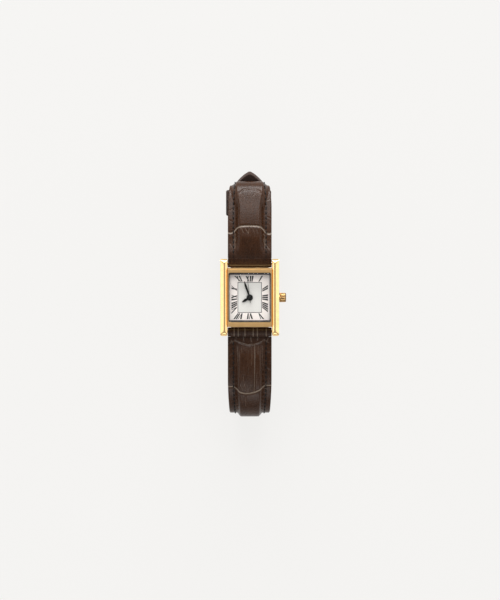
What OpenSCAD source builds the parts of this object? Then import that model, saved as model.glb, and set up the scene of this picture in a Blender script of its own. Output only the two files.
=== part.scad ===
// Small rectangular quartz wristwatch on a buckled leather strap.
// Origin: centre of the case back's outer face. +Z towards the dial, +Y towards twelve, +X towards the crown.

/* [Case] */
// Width of the case over its two side bars
case_w = 18.5; // [17.5:0.1:20]
// Length of the case block between the strap ends
case_l = 18.6; // [18:0.1:20]
// Height of the case block above the case back's face
case_h = 5.1; // [5.1:0.05:5.6]
// Width of each side bar
bar_w = 2.25; // [2:0.05:2.5]
// Length of each side bar, lug to lug
bar_l = 24.3; // [23.6:0.1:26]
// Height of the side bars' crest
bar_h = 5.9; // [5.6:0.05:6.4]
// Height of the side bars' underside
bar_lift = 0.35; // [0.2:0.05:0.6]
// Height of the bezel's rim
bezel_h = 6.05; // [5.8:0.05:6.6]
// Width of the bezel's end bars
bezel_end = 1.5; // [1.3:0.05:1.6]
// Width of the bezel's side strips
bezel_side = 0.3; // [0.2:0.05:0.4]
// Thickness of the case back
back_t = 0.8; // [0.6:0.05:0.85]

/* [Crystal and dial] */
// Thickness of the crystal
crystal_t = 1.05; // [0.9:0.05:1.2]
// Width of the gasket round the crystal
crystal_gasket_w = 0.15; // [0.1:0.05:0.2]
// Width of the flange that shows inside the crystal at the sides
flange_side_w = 0.39; // [0.3:0.01:0.8]
// Width of the flange that shows inside the crystal at the ends
flange_end_w = 0.54; // [0.4:0.01:0.9]
// Thickness of the dial
dial_t = 0.4; // [0.3:0.05:0.45]
// Width of the ring of figures at the sides
ring_side_w = 2.35; // [2:0.05:2.7]
// Width of the ring of figures at the ends
ring_end_w = 2.3; // [2:0.05:2.7]
// Depth of the printed figures above the dial
print_t = 0.03; // [0.02:0.01:0.06]

/* [Hands] */
// Length of the minute hand
minute_len = 5.7; // [4.5:0.1:5.9]
// Length of the hour hand
hour_len = 3.0; // [2.6:0.1:3.6]
// Length of the seconds hand
seconds_len = 5.35; // [4.5:0.05:5.7]
// Diameter of the hour hand's hub
hub_d = 2.0; // [1.6:0.1:2.4]
// Thickness of each hand
hand_t = 0.12; // [0.08:0.01:0.16]

/* [Crown] */
// Diameter of the crown
crown_d = 2.95; // [2.6:0.05:3.3]
// Length of the crown
crown_l = 2.1; // [1.7:0.05:2.5]
// Diameter of the winding stem
stem_d = 0.6; // [0.5:0.05:0.6]

/* [Strap] */
// Width of the strap at the buckle
tail_w = 12; // [11:0.1:12.8]
// Thickness of the leather at the strap's edge
strap_t = 1.6; // [1.4:0.05:1.8]
// Thickness of the lining within that
lining_t = 0.7; // [0.5:0.05:0.8]
// Height of the padding at the crown of the strap
pad_h = 1.9; // [1.2:0.1:2.2]
// Diameter of the spring bars' tubes
spring_bar_d = 1.3; // [1.1:0.05:1.4]
// Reach of the strap's twelve o'clock bend from the dial centre
reach_top = 36.7; // [36:0.1:38]
// Reach of the strap's six o'clock bend from the dial centre
reach_low = 37.6; // [36.5:0.1:39]
// Depth of the table below the case back's face
loop_depth = 25.1; // [24:0.1:27]
// Slope of the underside towards the tip
tail_slope = 40; // [38:1:42]
// Distance from the dial centre to the tip of the strap
tip_reach = 39.9; // [39:0.1:41]

/* [Buckle] */
// Distance of the buckle's bar from the dial centre
buckle_y = 8; // [7:0.1:8.5]
// Length of the buckle's frame from its bar to its crossbar
buckle_l = 9.5; // [9:0.1:10]
// Thickness of the buckle's crossbar and of the keepers' walls
wrap_t = 1.0; // [0.8:0.05:1.1]
// Width of the buckle's side arms
buckle_arm_w = 1.4; // [1.2:0.05:1.6]
// Width of the tongue
tongue_w = 1.3; // [1.1:0.05:1.4]
// Width of the fixed keeper along the strap
fixed_keeper_w = 5; // [4:0.1:5.5]
// Width of the free keeper along the strap
free_keeper_w = 6.5; // [5.5:0.1:7]

/* [Fits] */
// Gap between the strap's edge and each side bar
strap_play = 0.1; // [0.05:0.01:0.15]
// Gap between turning pieces
running = 0.04; // [0.03:0.01:0.05]
// Gap between leather layers that are glued or lie together
leather_gap = 0.05; // [0.03:0.01:0.08]
// Gap round the pieces that drop into the case
seat_gap = 0.05; // [0.03:0.01:0.08]

/* [Hidden] */

// Colours as the photograph shows them
gold = [0.90, 0.72, 0.42];
steel = [0.70, 0.70, 0.70];
leather = [0.30, 0.22, 0.18];
lining_brown = [0.23, 0.15, 0.12];
thread = [0.10, 0.07, 0.05];
near_black = [0.12, 0.12, 0.12];

// Case
lug_gap = case_w - 2 * bar_w;
bar_x = (case_w - bar_w) / 2;
fold_t = 0.6;
fold_r = spring_bar_d / 2 + leather_gap + fold_t;
lug_y = case_l / 2 + fold_r + 0.15;
lug_z = 1.5;
lug_hole_d = 1.0;

// Strap loop, as seen from the side
head_w = lug_gap - 2 * strap_play;
lay_gap = 0.1;
loop_end = 1.6;
strap_start = lug_y + loop_end;
inner_z = lug_z - fold_r;
pad_side = 2.2;
stitch_side = 1.75;
stitch_pitch = 1.5;
stitch_l = 1.0;
stitch_r = 0.14;
stitch_from = 2;
top_stitch_past = 1;
low_stitch_past = 9;
knee_y = buckle_y + 10;
knee_r = 8;
bend_r = 6.2;
tail_outer_z = wrap_t + lay_gap - loop_depth;
tail_inner_z = tail_outer_z + strap_t;
short_outer_z = tail_inner_z + lay_gap;
short_inner_z = short_outer_z + strap_t;
knee_z = short_inner_z + knee_r;
tail_r = knee_r + strap_t + lay_gap;
// Padding left where each half turns furthest out
top_bend_pad = 0.68 * pad_h;
low_bend_pad = 0.6 * pad_h;
top_bend_y = reach_top - strap_t - top_bend_pad;
slope_len = (top_bend_y - bend_r * (1 - sin(tail_slope)) - knee_y - knee_r * sin(tail_slope))
    / cos(tail_slope);
top_bend_z = short_inner_z + knee_r * (1 - cos(tail_slope)) + slope_len * sin(tail_slope)
    + bend_r * cos(tail_slope);
low_bend_y = reach_low - strap_t - low_bend_pad;
low_bend_z = -11;
low_flat_z = strap_t - loop_depth;
low_flat_from = -20;
low_flat_to = -9.5;
tail_from = -3.5;
level_end = 0.4;
// Handles of the curves that lead from the lugs into the bends
top_run = 9;
top_drop = 4.5;
low_run = 10;
low_drop = 6;
low_turn = 7;
low_lead = 8;
// Where the padding rises, and how long before each bend it starts to fall
pad_from = 0.5;
pad_rise = 6;
top_pad_early = 2.7;
top_pad_fall = 6.5;
low_pad_early = 6;
low_pad_fall = 14;
// Towards the top bend the padding spreads out to the strap's edges
spread_side = 0.45;
spread_early = 9;
spread_l = 7;
// Each half narrows to the tail's width round its bend
short_taper_early = 8;
short_taper_l = 13;
long_taper_early = 14;
long_taper_l = 23;

function smooth(t) = let (c = min(max(t, 0), 1)) c * c * (3 - 2 * c);
function mix(a, b, t) = a + (b - a) * t;
function bezier(p, t) = pow(1 - t, 3) * p[0] + 3 * pow(1 - t, 2) * t * p[1]
    + 3 * (1 - t) * t * t * p[2] + pow(t, 3) * p[3];

// Inner line of the short half, from the twelve o'clock lug round to the buckle, as [y, z]
short_path = concat(
    [for (i = [0 : 20]) bezier([[strap_start, inner_z], [strap_start + top_run, inner_z],
        [top_bend_y, top_bend_z + top_drop], [top_bend_y, top_bend_z]], i / 20)],
    [for (i = [1 : 5]) [top_bend_y - bend_r, top_bend_z] + bend_r * arc_at(-i / 5 * (90 - tail_slope))],
    [for (i = [0 : 4]) [knee_y, knee_z] + knee_r * arc_at(tail_slope - 90 - i / 4 * tail_slope)],
    [[buckle_y + loop_end, short_inner_z]]);
// Inner line of the long half's padded stretch, from the six o'clock lug to the flat tail
long_path = concat(
    [for (i = [0 : 20]) bezier([[-strap_start, inner_z], [-strap_start - low_run, inner_z],
        [-low_bend_y, low_bend_z + low_drop], [-low_bend_y, low_bend_z]], i / 20)],
    [for (i = [1 : 9]) bezier([[-low_bend_y, low_bend_z], [-low_bend_y, low_bend_z - low_turn],
        [low_flat_from - low_lead, low_flat_z], [low_flat_from, low_flat_z]], i / 9)],
    [for (i = [0 : 6]) [mix(low_flat_to, tail_from - level_end, i / 6),
        mix(low_flat_z, tail_inner_z, smooth(i / 6))]],
    [[tail_from, tail_inner_z]]);
function arc_at(a) = [cos(a), sin(a)];

// Length along a path up to each of its points
function path_lengths(p) = [for (i = 0, s = 0; i < len(p);
    i = i + 1, s = s + (i < len(p) ? norm(p[i] - p[i - 1]) : 0)) s];
short_s = path_lengths(short_path);
long_s = path_lengths(long_path);
short_bend_s = short_s[20];
long_bend_s = long_s[20];

// Padding height at a length along each half
function short_pad(s) = pad_h * smooth((s - pad_from) / pad_rise)
    * (1 - smooth((s - short_bend_s + top_pad_early) / top_pad_fall));
function long_pad(s) = pad_h * smooth((s - pad_from) / pad_rise)
    * (1 - smooth((s - long_bend_s + low_pad_early) / low_pad_fall));
// Width of the strap at a length along each half
function short_width(s) = mix(head_w, tail_w,
    smooth((s - short_bend_s + short_taper_early) / short_taper_l));
function long_width(s) = mix(head_w, tail_w,
    smooth((s - long_bend_s + long_taper_early) / long_taper_l));
// Flat margin beside the padding of the short half
function short_side(s) = mix(pad_side, spread_side, smooth((s - short_bend_s + spread_early) / spread_l));
// Rise of the padded crown across the strap, 1 on its flat top and 0 at its foot
crown_flank = 0.36;
function crown_rise(u) = smooth((1 - abs(u)) / crown_flank);
flank_steps = [0, 0.25, 0.5, 0.75, 1];
crown_steps = concat([for (t = flank_steps) crown_flank * t - 1],
    [for (k = [4 : -1 : 0]) 1 - crown_flank * flank_steps[k]]);
pad_steps = [for (u = crown_steps) if (crown_rise(u) > 0.4) u];
crown_back = [for (k = [len(crown_steps) - 1 : -1 : 0]) crown_steps[k]];
edge_round = 0.4;

// Cross-sections of the three layers, as [across, outwards]
function outer_section(w, pad, beside) = let (foot = w / 2 - beside, low = lining_t + leather_gap) concat(
    [[-w / 2, strap_t - edge_round], [-w / 2 + edge_round, strap_t]],
    [for (u = crown_steps) [u * foot, strap_t + pad * crown_rise(u)]],
    [[w / 2 - edge_round, strap_t], [w / 2, strap_t - edge_round]],
    [[w / 2, low], [w / 2 - edge_round, low]],
    [for (u = crown_back) [u * foot, low + pad * crown_rise(u)]],
    [[edge_round - w / 2, low], [-w / 2, low]]);
function lining_section(w) = [[-w / 2, 0], [-w / 2, lining_t], [w / 2, lining_t], [w / 2, 0]];
function padding_section(w, pad, beside) = let (foot = w / 2 - beside, low = lining_t + leather_gap) concat(
    [[pad_steps[0] * foot, low]],
    [for (u = pad_steps) [u * foot, low + pad * crown_rise(u) - leather_gap]],
    [[-pad_steps[0] * foot, low]]);

// Unit direction of a path at one of its points
function along(p, i) = let (d = p[min(i + 1, len(p) - 1)] - p[max(i - 1, 0)]) d / norm(d);
// One cross-section set square to a path; side is 1 for the short half and -1 for the long half
function ring_at(p, i, side, section) = let (t = along(p, i), out = side * [-t[1], t[0]])
    [for (q = section) [side * q[0], p[i][0] + out[0] * q[1], p[i][1] + out[1] * q[1]]];

// Closed skin over a row of rings with as many points each; an end is closed by strips that
// join each point to its opposite one
module skin(rings) {
    n = len(rings[0]);
    last = (len(rings) - 1) * n;
    pairs = [for (k = [0 : n / 2 - 2]) [k, k + 1, n - 2 - k, n - 1 - k]];
    polyhedron([for (r = rings) each r], concat(
        [for (q = pairs) each [[q[0], q[1], q[2]], [q[0], q[2], q[3]]]],
        [for (q = pairs) each [[last + q[2], last + q[1], last + q[0]],
            [last + q[3], last + q[2], last + q[0]]]],
        [for (i = [0 : len(rings) - 2]) for (k = [0 : n - 1]) let (a = i * n, b = a + n, j = (k + 1) % n)
            each [[a + k, b + k, b + j], [a + k, b + j, a + j]]]));
}
// Width, padding height and margin at a length along the half on the given side
function shape_at(side, s) = side > 0 ? [short_width(s), short_pad(s), short_side(s)]
    : [long_width(s), long_pad(s), pad_side];
module swept_outer(p, s, side) skin([for (i = [0 : len(p) - 1]) let (q = shape_at(side, s[i]))
    ring_at(p, i, side, outer_section(q[0], q[1], q[2]))]);
module swept_lining(p, s, side) skin([for (i = [0 : len(p) - 1])
    ring_at(p, i, side, lining_section(shape_at(side, s[i])[0]))]);
module swept_padding(p, s, side) skin([for (i = [0 : len(p) - 1]) let (q = shape_at(side, s[i]))
    if (q[1] > 0.5) ring_at(p, i, side, padding_section(q[0], q[1], q[2]))]);

// Stitches lie on the leather in two rows, one hexagonal bar each; lean is the leather's slope there
stitch_lift = stitch_r + 0.05;
module stitch_rows(p, s, side, from, to) {
    for (d = [from : stitch_pitch : to]) {
        i = max([for (k = [0 : len(s) - 2]) if (s[k] <= d) k]);
        t = (p[i + 1] - p[i]) / norm(p[i + 1] - p[i]);
        q = shape_at(side, d);
        foot = q[0] / 2 - q[2];
        u = (q[0] / 2 - stitch_side) / foot;
        lean = q[1] * (crown_rise(u - 0.05) - crown_rise(u + 0.05)) / (0.1 * foot);
        high = strap_t + q[1] * crown_rise(u) + stitch_lift * norm([1, lean]);
        at = p[i] + t * (d - s[i]) + side * [-t[1], t[0]] * high;
        for (x = [-1, 1] * (q[0] / 2 - stitch_side))
            translate([x, at[0], at[1]])
                rotate([atan2(t[1], t[0]), 0, 0])
                    rotate([90, 0, 0])
                        cylinder(h = stitch_l, r = stitch_r, center = true, $fn = 6);
    }
}
module strap_top_outer() color(leather) swept_outer(short_path, short_s, 1);
module strap_top_lining() color(lining_brown) swept_lining(short_path, short_s, 1);
module strap_top_padding() color([0.5, 0.45, 0.4]) swept_padding(short_path, short_s, 1);
module strap_top_stitching() color(thread)
    stitch_rows(short_path, short_s, 1, stitch_from, short_bend_s + top_stitch_past);
module strap_bottom_outer() color(leather) swept_outer(long_path, long_s, -1);
module strap_bottom_lining() color(lining_brown) swept_lining(long_path, long_s, -1);
module strap_bottom_padding() color([0.5, 0.45, 0.4]) swept_padding(long_path, long_s, -1);
module strap_bottom_stitching() color(thread)
    stitch_rows(long_path, long_s, -1, stitch_from, long_bend_s + low_stitch_past);

// Leather folded round a spring bar; it meets the strap's square end
module bar_loop(w, plate_z) {
    difference() {
        union() {
            rotate([0, 90, 0]) cylinder(h = w, r = fold_r, center = true, $fn = 64);
            translate([-w / 2, 0, plate_z]) cube([w, loop_end - leather_gap, strap_t]);
        }
        rotate([0, 90, 0]) cylinder(h = w + 2, d = spring_bar_d + 2 * leather_gap, center = true, $fn = 64);
    }
}
module strap_top_bar_loop() color(leather)
    translate([0, lug_y, lug_z]) bar_loop(head_w, -fold_r);
module strap_bottom_bar_loop() color(leather)
    translate([0, -lug_y, lug_z]) rotate([0, 0, 180]) bar_loop(head_w, -fold_r);

// Buckle bar's height, with its fold lying on the tail
buckle_z = short_outer_z + fold_r;
tongue_slot = tongue_w + 0.4;
module strap_buckle_loop() color(leather)
    translate([0, buckle_y, buckle_z]) difference() {
        bar_loop(tail_w, short_outer_z - buckle_z);
        translate([-tongue_slot / 2, -fold_r - 1, -fold_r - 1])
            cube([tongue_slot, fold_r + 2.35, 2 * fold_r + 2]);
    }

// Flat punched tail: a level run, a bend over the knee and a sloping run to the pointed tip
hole_y = buckle_y - 3.5;
// Turn by which the bend over the knee runs into the level plates, so that they join
knee_lap = 0.3;
hole_step = 6;
hole_l = 2.7;
hole_w = tongue_w + 0.3;
tip_len = 11.5;
// The point is rounded off by a circle; tip_angle is between one side and the middle line there
tip_round = 1.3;
tip_angle = 54;
tip_back = tip_round / sin(tip_angle) - tip_round;
tail_len = (tip_reach - knee_y - (tail_r + strap_t) * sin(tail_slope)) / cos(tail_slope) + tip_back;
module tail_hole() {
    rotate([0, 0, 90]) for (x = [-1, 1] * (hole_l - hole_w) / 2)
        translate([x, 0, 0]) cylinder(h = 2 * strap_t, d = hole_w, center = true, $fn = 48);
    cube([hole_w, hole_l - hole_w, 2 * strap_t], center = true);
}
// Sloping run of the tail; its sides curve in to the point along two large circles
module tail_plate() difference() {
    tip_r = (tip_len * tip_len + tail_w * tail_w / 4) / tail_w;
    translate([-tail_w / 2, 0, 0]) cube([tail_w, tail_len, strap_t]);
    for (side = [-1, 1]) difference() {
        translate([side * tail_w / 2 - tail_w / 2, tail_len - tip_len, -1])
            cube([tail_w, tip_len + 1, strap_t + 2]);
        translate([side * (tail_w / 2 - tip_r), tail_len - tip_len, -2])
            cylinder(h = strap_t + 4, r = tip_r, $fn = 128);
    }
    round_y = tail_len - tip_back - tip_round;
    difference() {
        translate([-tip_round, round_y + tip_round * sin(tip_angle), -1])
            cube([2 * tip_round, tip_round, strap_t + 2]);
        translate([0, round_y, -2]) cylinder(h = strap_t + 4, r = tip_round, $fn = 64);
    }
}
module strap_tail() color(leather) difference() {
    union() {
        translate([-tail_w / 2, tail_from + leather_gap, tail_outer_z])
            cube([tail_w, knee_y - tail_from - leather_gap, strap_t]);
        translate([0, knee_y, knee_z]) {
            rotate([90, 0, 90]) rotate_extrude(angle = tail_slope + 2 * knee_lap, start = -90 - knee_lap,
                $fn = 128) translate([tail_r, -tail_w / 2]) square([strap_t, tail_w]);
            rotate([tail_slope, 0, 0]) translate([0, 0, -tail_r - strap_t]) tail_plate();
        }
    }
    for (k = [-1 : 2]) translate([0, hole_y + k * hole_step, (tail_outer_z + tail_inner_z) / 2]) tail_hole();
    translate([0, knee_y, knee_z]) {
        bend_len = (tail_r + strap_t / 2) * tail_slope * PI / 180;
        first = hole_y + 3 * hole_step - knee_y;
        rotate([first / (tail_r + strap_t / 2) * 180 / PI, 0, 0])
            translate([0, 0, -tail_r - strap_t / 2]) tail_hole();
        rotate([tail_slope, 0, 0]) translate([0, first + hole_step - bend_len, -tail_r - strap_t / 2])
            tail_hole();
    }
}

// Flat figure with round corners
module rounded(w, l, r) {
    square([w - 2 * r, l], center = true);
    square([w, l - 2 * r], center = true);
    for (x = [-1, 1] * (w / 2 - r), y = [-1, 1] * (l / 2 - r)) translate([x, y]) circle(r = r, $fn = 48);
}

// Leather band round both strap layers, with play beside them; low and high are the heights of its
// inner faces
keeper_play = 0.15;
keeper_side_t = 0.65;
keeper_top_t = 0.7;
module keeper(play, low, high, length) {
    inner_w = tail_w + 2 * play;
    outer_h = high - low + wrap_t + keeper_top_t;
    rotate([90, 0, 0]) linear_extrude(length, center = true) difference() {
        translate([0, low - wrap_t + outer_h / 2]) rounded(inner_w + 2 * keeper_side_t, outer_h, 0.7);
        translate([0, (low + high) / 2]) square([inner_w, high - low], center = true);
    }
}
module fixed_keeper() color(leather)
    translate([0, buckle_y + 2.3 + fixed_keeper_w / 2, 0])
        keeper(keeper_play, tail_outer_z - lay_gap, short_inner_z + lay_gap, fixed_keeper_w);
// The free keeper is looser and hangs against one edge of the strap
free_keeper_play = 0.5;
free_keeper_x = keeper_play - free_keeper_play;
free_keeper_s = slope_len - free_keeper_w / 2 - 0.4;
module free_keeper() color(leather)
    translate([free_keeper_x, knee_y, knee_z]) rotate([tail_slope, 0, 0]) translate([0, free_keeper_s, 0])
        keeper(free_keeper_play, -tail_r - strap_t - lay_gap, lay_gap - knee_r, free_keeper_w);

// Buckle: a frame and a tongue that turn on one bar
bar_pin_d = 0.9;
bar_hole_d = bar_pin_d + 2 * running + 0.02;
frame_in = tail_w / 2 + 0.25;
crossbar_y = buckle_y - buckle_l;
crossbar_w = 1.6;
tongue_t = 0.6;
module frame_profile() {
    translate([buckle_y, buckle_z]) circle(r = 1.1, $fn = 64);
    polygon([[buckle_y - 0.2, buckle_z + 1.08], [buckle_y, buckle_z - 1.1],
        [crossbar_y + crossbar_w / 2, -loop_depth], [crossbar_y - crossbar_w / 2, -loop_depth],
        [crossbar_y - crossbar_w / 2, wrap_t - loop_depth]]);
}
module buckle_frame() color(gold) difference() {
    intersection() {
        union() {
            for (x = [frame_in, -frame_in - buckle_arm_w]) translate([x, 0, 0])
                rotate([90, 0, 90]) linear_extrude(buckle_arm_w) frame_profile();
            translate([-frame_in - 0.1, crossbar_y - crossbar_w / 2, -loop_depth])
                cube([2 * frame_in + 0.2, crossbar_w, wrap_t]);
        }
        translate([0, (crossbar_y - crossbar_w / 2 + buckle_y + 2) / 2, -loop_depth - 1])
            linear_extrude(8)
                rounded(2 * (frame_in + buckle_arm_w), buckle_l + crossbar_w / 2 + 2, 1.3);
    }
    translate([-tongue_w / 2 - 0.15, crossbar_y - 1.2, -loop_depth - 1])
        cube([tongue_w + 0.3, 2.4, tongue_t + 1.06]);
    translate([0, buckle_y, buckle_z]) rotate([0, 90, 0])
        cylinder(h = 20, d = bar_hole_d, center = true, $fn = 48);
}
// Straight length of the tongue between two points of its side view, with a round far end
module tongue_leg(a, b) {
    d = b - a;
    translate([0, a[0], a[1]]) rotate([atan2(d[1], d[0]), 0, 0])
        translate([-tongue_w / 2, 0, -tongue_t / 2]) cube([tongue_w, norm(d), tongue_t]);
    translate([0, b[0], b[1]]) rotate([0, 90, 0])
        cylinder(h = tongue_w, d = tongue_t, center = true, $fn = 48);
}
module buckle_tongue() color(gold) difference() {
    over = [hole_y + 1.05, tail_inner_z + 0.9];
    under = [hole_y - 1.25, tongue_t / 2 - loop_depth];
    tip = [crossbar_y - 0.4, tongue_t / 2 - loop_depth];
    union() {
        translate([0, buckle_y, buckle_z]) rotate([0, 90, 0])
            cylinder(h = tongue_w, r = 1.1, center = true, $fn = 64);
        tongue_leg([buckle_y - 0.8, buckle_z - 0.2], over);
        tongue_leg(over, under);
        tongue_leg(under, tip);
    }
    translate([0, buckle_y, buckle_z]) rotate([0, 90, 0])
        cylinder(h = 4, d = spring_bar_d + 2 * running, center = true, $fn = 64);
}
module buckle_bar() color(steel) translate([0, buckle_y, buckle_z]) rotate([0, 90, 0]) {
    cylinder(h = tail_w, d = spring_bar_d, center = true, $fn = 64);
    cylinder(h = 2 * (frame_in + buckle_arm_w) - 0.3, d = bar_pin_d, center = true, $fn = 48);
}

// Spring bars: a tube with a spring inside that pushes a tip into each lug
tube_len = lug_gap - 1;
tip_d = lug_hole_d - 0.1;
tip_in = 2.1;
tip_out = 0.85;
spring_wire = 0.14;
spring_turns = 9;
spring_len = tube_len - 2 * tip_in - 0.1;
module spring_bar_tube() rotate([0, 90, 0]) difference() {
    cylinder(h = tube_len, d = spring_bar_d, center = true, $fn = 64);
    cylinder(h = tube_len + 1, d = lug_hole_d, center = true, $fn = 64);
}
module bar_tip(side) rotate([0, side * 90, 0]) translate([0, 0, tube_len / 2 - tip_in])
    cylinder(h = tip_in + 0.5 + tip_out, d = tip_d, $fn = 64);
module bar_spring() {
    r = (lug_hole_d - spring_wire) / 2 - 0.08;
    steps = 8 * spring_turns;
    skin([for (i = [0 : steps]) let (a = i * 45, x = (i / steps - 0.5) * (spring_len - spring_wire))
        [for (k = [0 : 5]) let (b = -k * 60, q = r + cos(b) * spring_wire / 2)
            [x + sin(b) * spring_wire / 2, q * cos(a), q * sin(a)]]]);
}
module at_lug(side) translate([0, side * lug_y, lug_z]) children();
module spring_bar_top() color(steel) at_lug(1) spring_bar_tube();
module spring_bar_bottom() color(steel) at_lug(-1) spring_bar_tube();
module bar_spring_top() color(steel) at_lug(1) bar_spring();
module bar_spring_bottom() color(steel) at_lug(-1) bar_spring();
module bar_tip_top_left() color(steel) at_lug(1) bar_tip(-1);
module bar_tip_top_right() color(steel) at_lug(1) bar_tip(1);
module bar_tip_bottom_left() color(steel) at_lug(-1) bar_tip(-1);
module bar_tip_bottom_right() color(steel) at_lug(-1) bar_tip(1);

// Case
cavity_w = lug_gap + 0.2;
cavity_l = case_l - 2.4;
back_w = case_w - 1.9;
back_l = case_l - 1.2;
stem_z = 2.9;
tube_d = 1.5;
crest_r = 1.4;
module side_bar() intersection() {
    rotate([90, 0, 0]) linear_extrude(bar_l, center = true) intersection() {
        translate([-bar_w / 2, 0]) square([bar_w, bar_h]);
        union() {
            translate([0, bar_h - crest_r]) circle(r = crest_r, $fn = 96);
            translate([-crest_r, 0]) square([2 * crest_r, bar_h - crest_r]);
        }
    }
    translate([0, 0, (bar_h + bar_lift) / 2]) rotate([90, 0, 90])
        linear_extrude(bar_w + 1, center = true) rounded(bar_l, bar_h - bar_lift, 2.1);
}
module case_body() color(gold) difference() {
    union() {
        translate([-lug_gap / 2 - 0.5, -case_l / 2, bar_lift])
            cube([lug_gap + 1, case_l, case_h - bar_lift]);
        for (x = [-bar_x, bar_x]) translate([x, 0, 0]) side_bar();
    }
    translate([0, 0, -1]) linear_extrude(case_h + 1.02) rounded(cavity_w, cavity_l, 0.8);
    translate([0, 0, -1]) linear_extrude(back_t + 1)
        rounded(back_w + 2 * seat_gap, back_l + 2 * seat_gap, 1);
    translate([6, 0, stem_z]) rotate([0, 90, 0]) cylinder(h = 6, d = tube_d, $fn = 64);
    for (side = [-1, 1]) at_lug(side) rotate([0, 90, 0])
        cylinder(h = lug_gap + 2 * (tip_out + 0.25), d = lug_hole_d, center = true, $fn = 64);
}
// The bezel's end bars drop by a step to the case's edge
bezel_step = 0.35;
module bezel() color(gold) difference() {
    translate([0, 0, case_h]) linear_extrude(bezel_h - case_h) difference() {
        square([lug_gap - 0.04, case_l], center = true);
        rounded(lug_gap - 2 * bezel_side, case_l - 2 * bezel_end, 0.6);
    }
    for (y = [-1, 1]) translate([0, y * (case_l / 2), bezel_h])
        cube([lug_gap + 1, 1.1, 2 * bezel_step], center = true);
}
crystal_w = lug_gap - 2 * bezel_side - 2 * crystal_gasket_w - 0.02;
crystal_l = case_l - 2 * bezel_end - 2 * crystal_gasket_w - 0.02;
dial_show_w = crystal_w - 2 * flange_side_w;
dial_show_l = crystal_l - 2 * flange_end_w;
track_w = dial_show_w - 2 * ring_side_w;
track_l = dial_show_l - 2 * ring_end_w;
bevel = 0.3;
module crystal() color([0.85, 0.9, 0.95, 0.4]) difference() {
    translate([0, 0, case_h]) linear_extrude(crystal_t) rounded(crystal_w, crystal_l, 0.45);
    for (a = [0 : 90 : 270])
        rotate([0, 0, a]) translate([(a % 180 == 0 ? crystal_w : crystal_l) / 2, 0, case_h + crystal_t])
            rotate([0, 35, 0]) cube([4 * bevel, 40, bevel], center = true);
}
module crystal_gasket() color([0.9, 0.9, 0.88]) translate([0, 0, case_h])
    linear_extrude(bezel_h - case_h - 0.15) difference() {
        rounded(crystal_w + 2 * crystal_gasket_w + 0.01, crystal_l + 2 * crystal_gasket_w + 0.01, 0.6);
        rounded(crystal_w + 0.01, crystal_l + 0.01, 0.45);
    }
module case_back() color(gold) {
    linear_extrude(back_t) rounded(back_w, back_l, 0.95);
    translate([0, 0, back_t - 0.1]) linear_extrude(0.6) difference() {
        rounded(cavity_w - 0.8, cavity_l - 0.8, 0.6);
        rounded(cavity_w - 1.4, cavity_l - 1.4, 0.4);
    }
}
module case_back_gasket() color(near_black) translate([0, 0, back_t + 0.01]) linear_extrude(0.4)
    difference() {
        rounded(cavity_w - 0.1, cavity_l - 0.1, 0.75);
        rounded(cavity_w - 0.76, cavity_l - 0.76, 0.6);
    }

// Dial and flange
movement_top = 3.4;
dial_z = movement_top;
dial_top = dial_z + dial_t;
plate_w = cavity_w - 1.2;
plate_l = cavity_l - 1.05;
foot_d = 0.5;
foot_x = plate_w / 2 - 1.9;
foot_y = plate_l / 2 - 1.175;
flange_spread = 0.33;
module dial_plate(gap) rounded(cavity_w - 2 * gap, cavity_l - 2 * gap, 0.7);
module dial() color([0.88, 0.87, 0.85]) {
    difference() {
        translate([0, 0, dial_z]) linear_extrude(dial_t) dial_plate(seat_gap);
        translate([0, 0, dial_z - 1]) cylinder(h = 3, r = 0.62, $fn = 48);
    }
    for (y = [-foot_y, foot_y]) translate([foot_x, y, dial_z - 0.6]) cylinder(h = 0.7, d = foot_d, $fn = 32);
}
// Opening that widens upwards: two crossing bars with slanted sides
module flange_side(span) linear_extrude(40, center = true) polygon([
    [-span / 2, dial_top], [span / 2, dial_top],
    [span / 2 + flange_spread, case_h], [span / 2 + flange_spread, case_h + 1],
    [-span / 2 - flange_spread, case_h + 1], [-span / 2 - flange_spread, case_h]]);
module dial_flange() color([0.3, 0.27, 0.25]) difference() {
    translate([0, 0, dial_top + print_t + 0.02]) linear_extrude(case_h - dial_top - print_t - 0.02)
        dial_plate(seat_gap);
    intersection() {
        rotate([90, 0, 0]) flange_side(dial_show_w);
        rotate([90, 0, 90]) flange_side(dial_show_l);
    }
}

// Printed figures: strokes that run outwards from the inner rectangle towards the dial's edge
hour_names = ["XII", "I", "II", "III", "IIII", "V", "VI", "VII", "VIII", "IX", "X", "XI"];
track_line = 0.16;
thick = 0.36;
thin = 0.16;
function advance(c) = c == "I" ? 0.5 : 0.95;
function strokes(c) = c == "I" ? [[0.25, 0.25, thick]]
    : c == "V" ? [[0.5, 0.15, thick], [0.5, 0.8, thin]]
    : [[0.75, 0.2, thick], [0.2, 0.75, thin]];
function word_width(w, i = 0) = i < len(w) ? advance(w[i]) + word_width(w, i + 1) : 0;
function start_of(w, i) = i == 0 ? -word_width(w) / 2 : start_of(w, i - 1) + advance(w[i - 1]);
module figure(h) {
    a = 30 * h;
    on_end = h % 6 < 2 || h % 6 == 5;
    ray = [sin(a), cos(a)];
    near = on_end ? track_l / 2 + 0.2 : track_w / 2 + 0.15;
    far = on_end ? dial_show_l / 2 - 0.3 : dial_show_w / 2 - 0.4;
    reading = on_end ? [sign(ray[1]), 0] : [0, -sign(ray[0])];
    level = on_end ? abs(ray[1]) : abs(ray[0]);
    spread = far / near;
    w = hour_names[h];
    for (i = [0 : len(w) - 1]) for (s = strokes(w[i])) {
        x = start_of(w, i);
        foot = ray * near / level + reading * (x + s[0]);
        head = ray * far / level + reading * (x + s[1]) * spread;
        linear_extrude(print_t) polygon([foot - reading * s[2] / 2, foot + reading * s[2] / 2,
            head + reading * s[2] * spread / 2, head - reading * s[2] * spread / 2]);
    }
}
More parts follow.
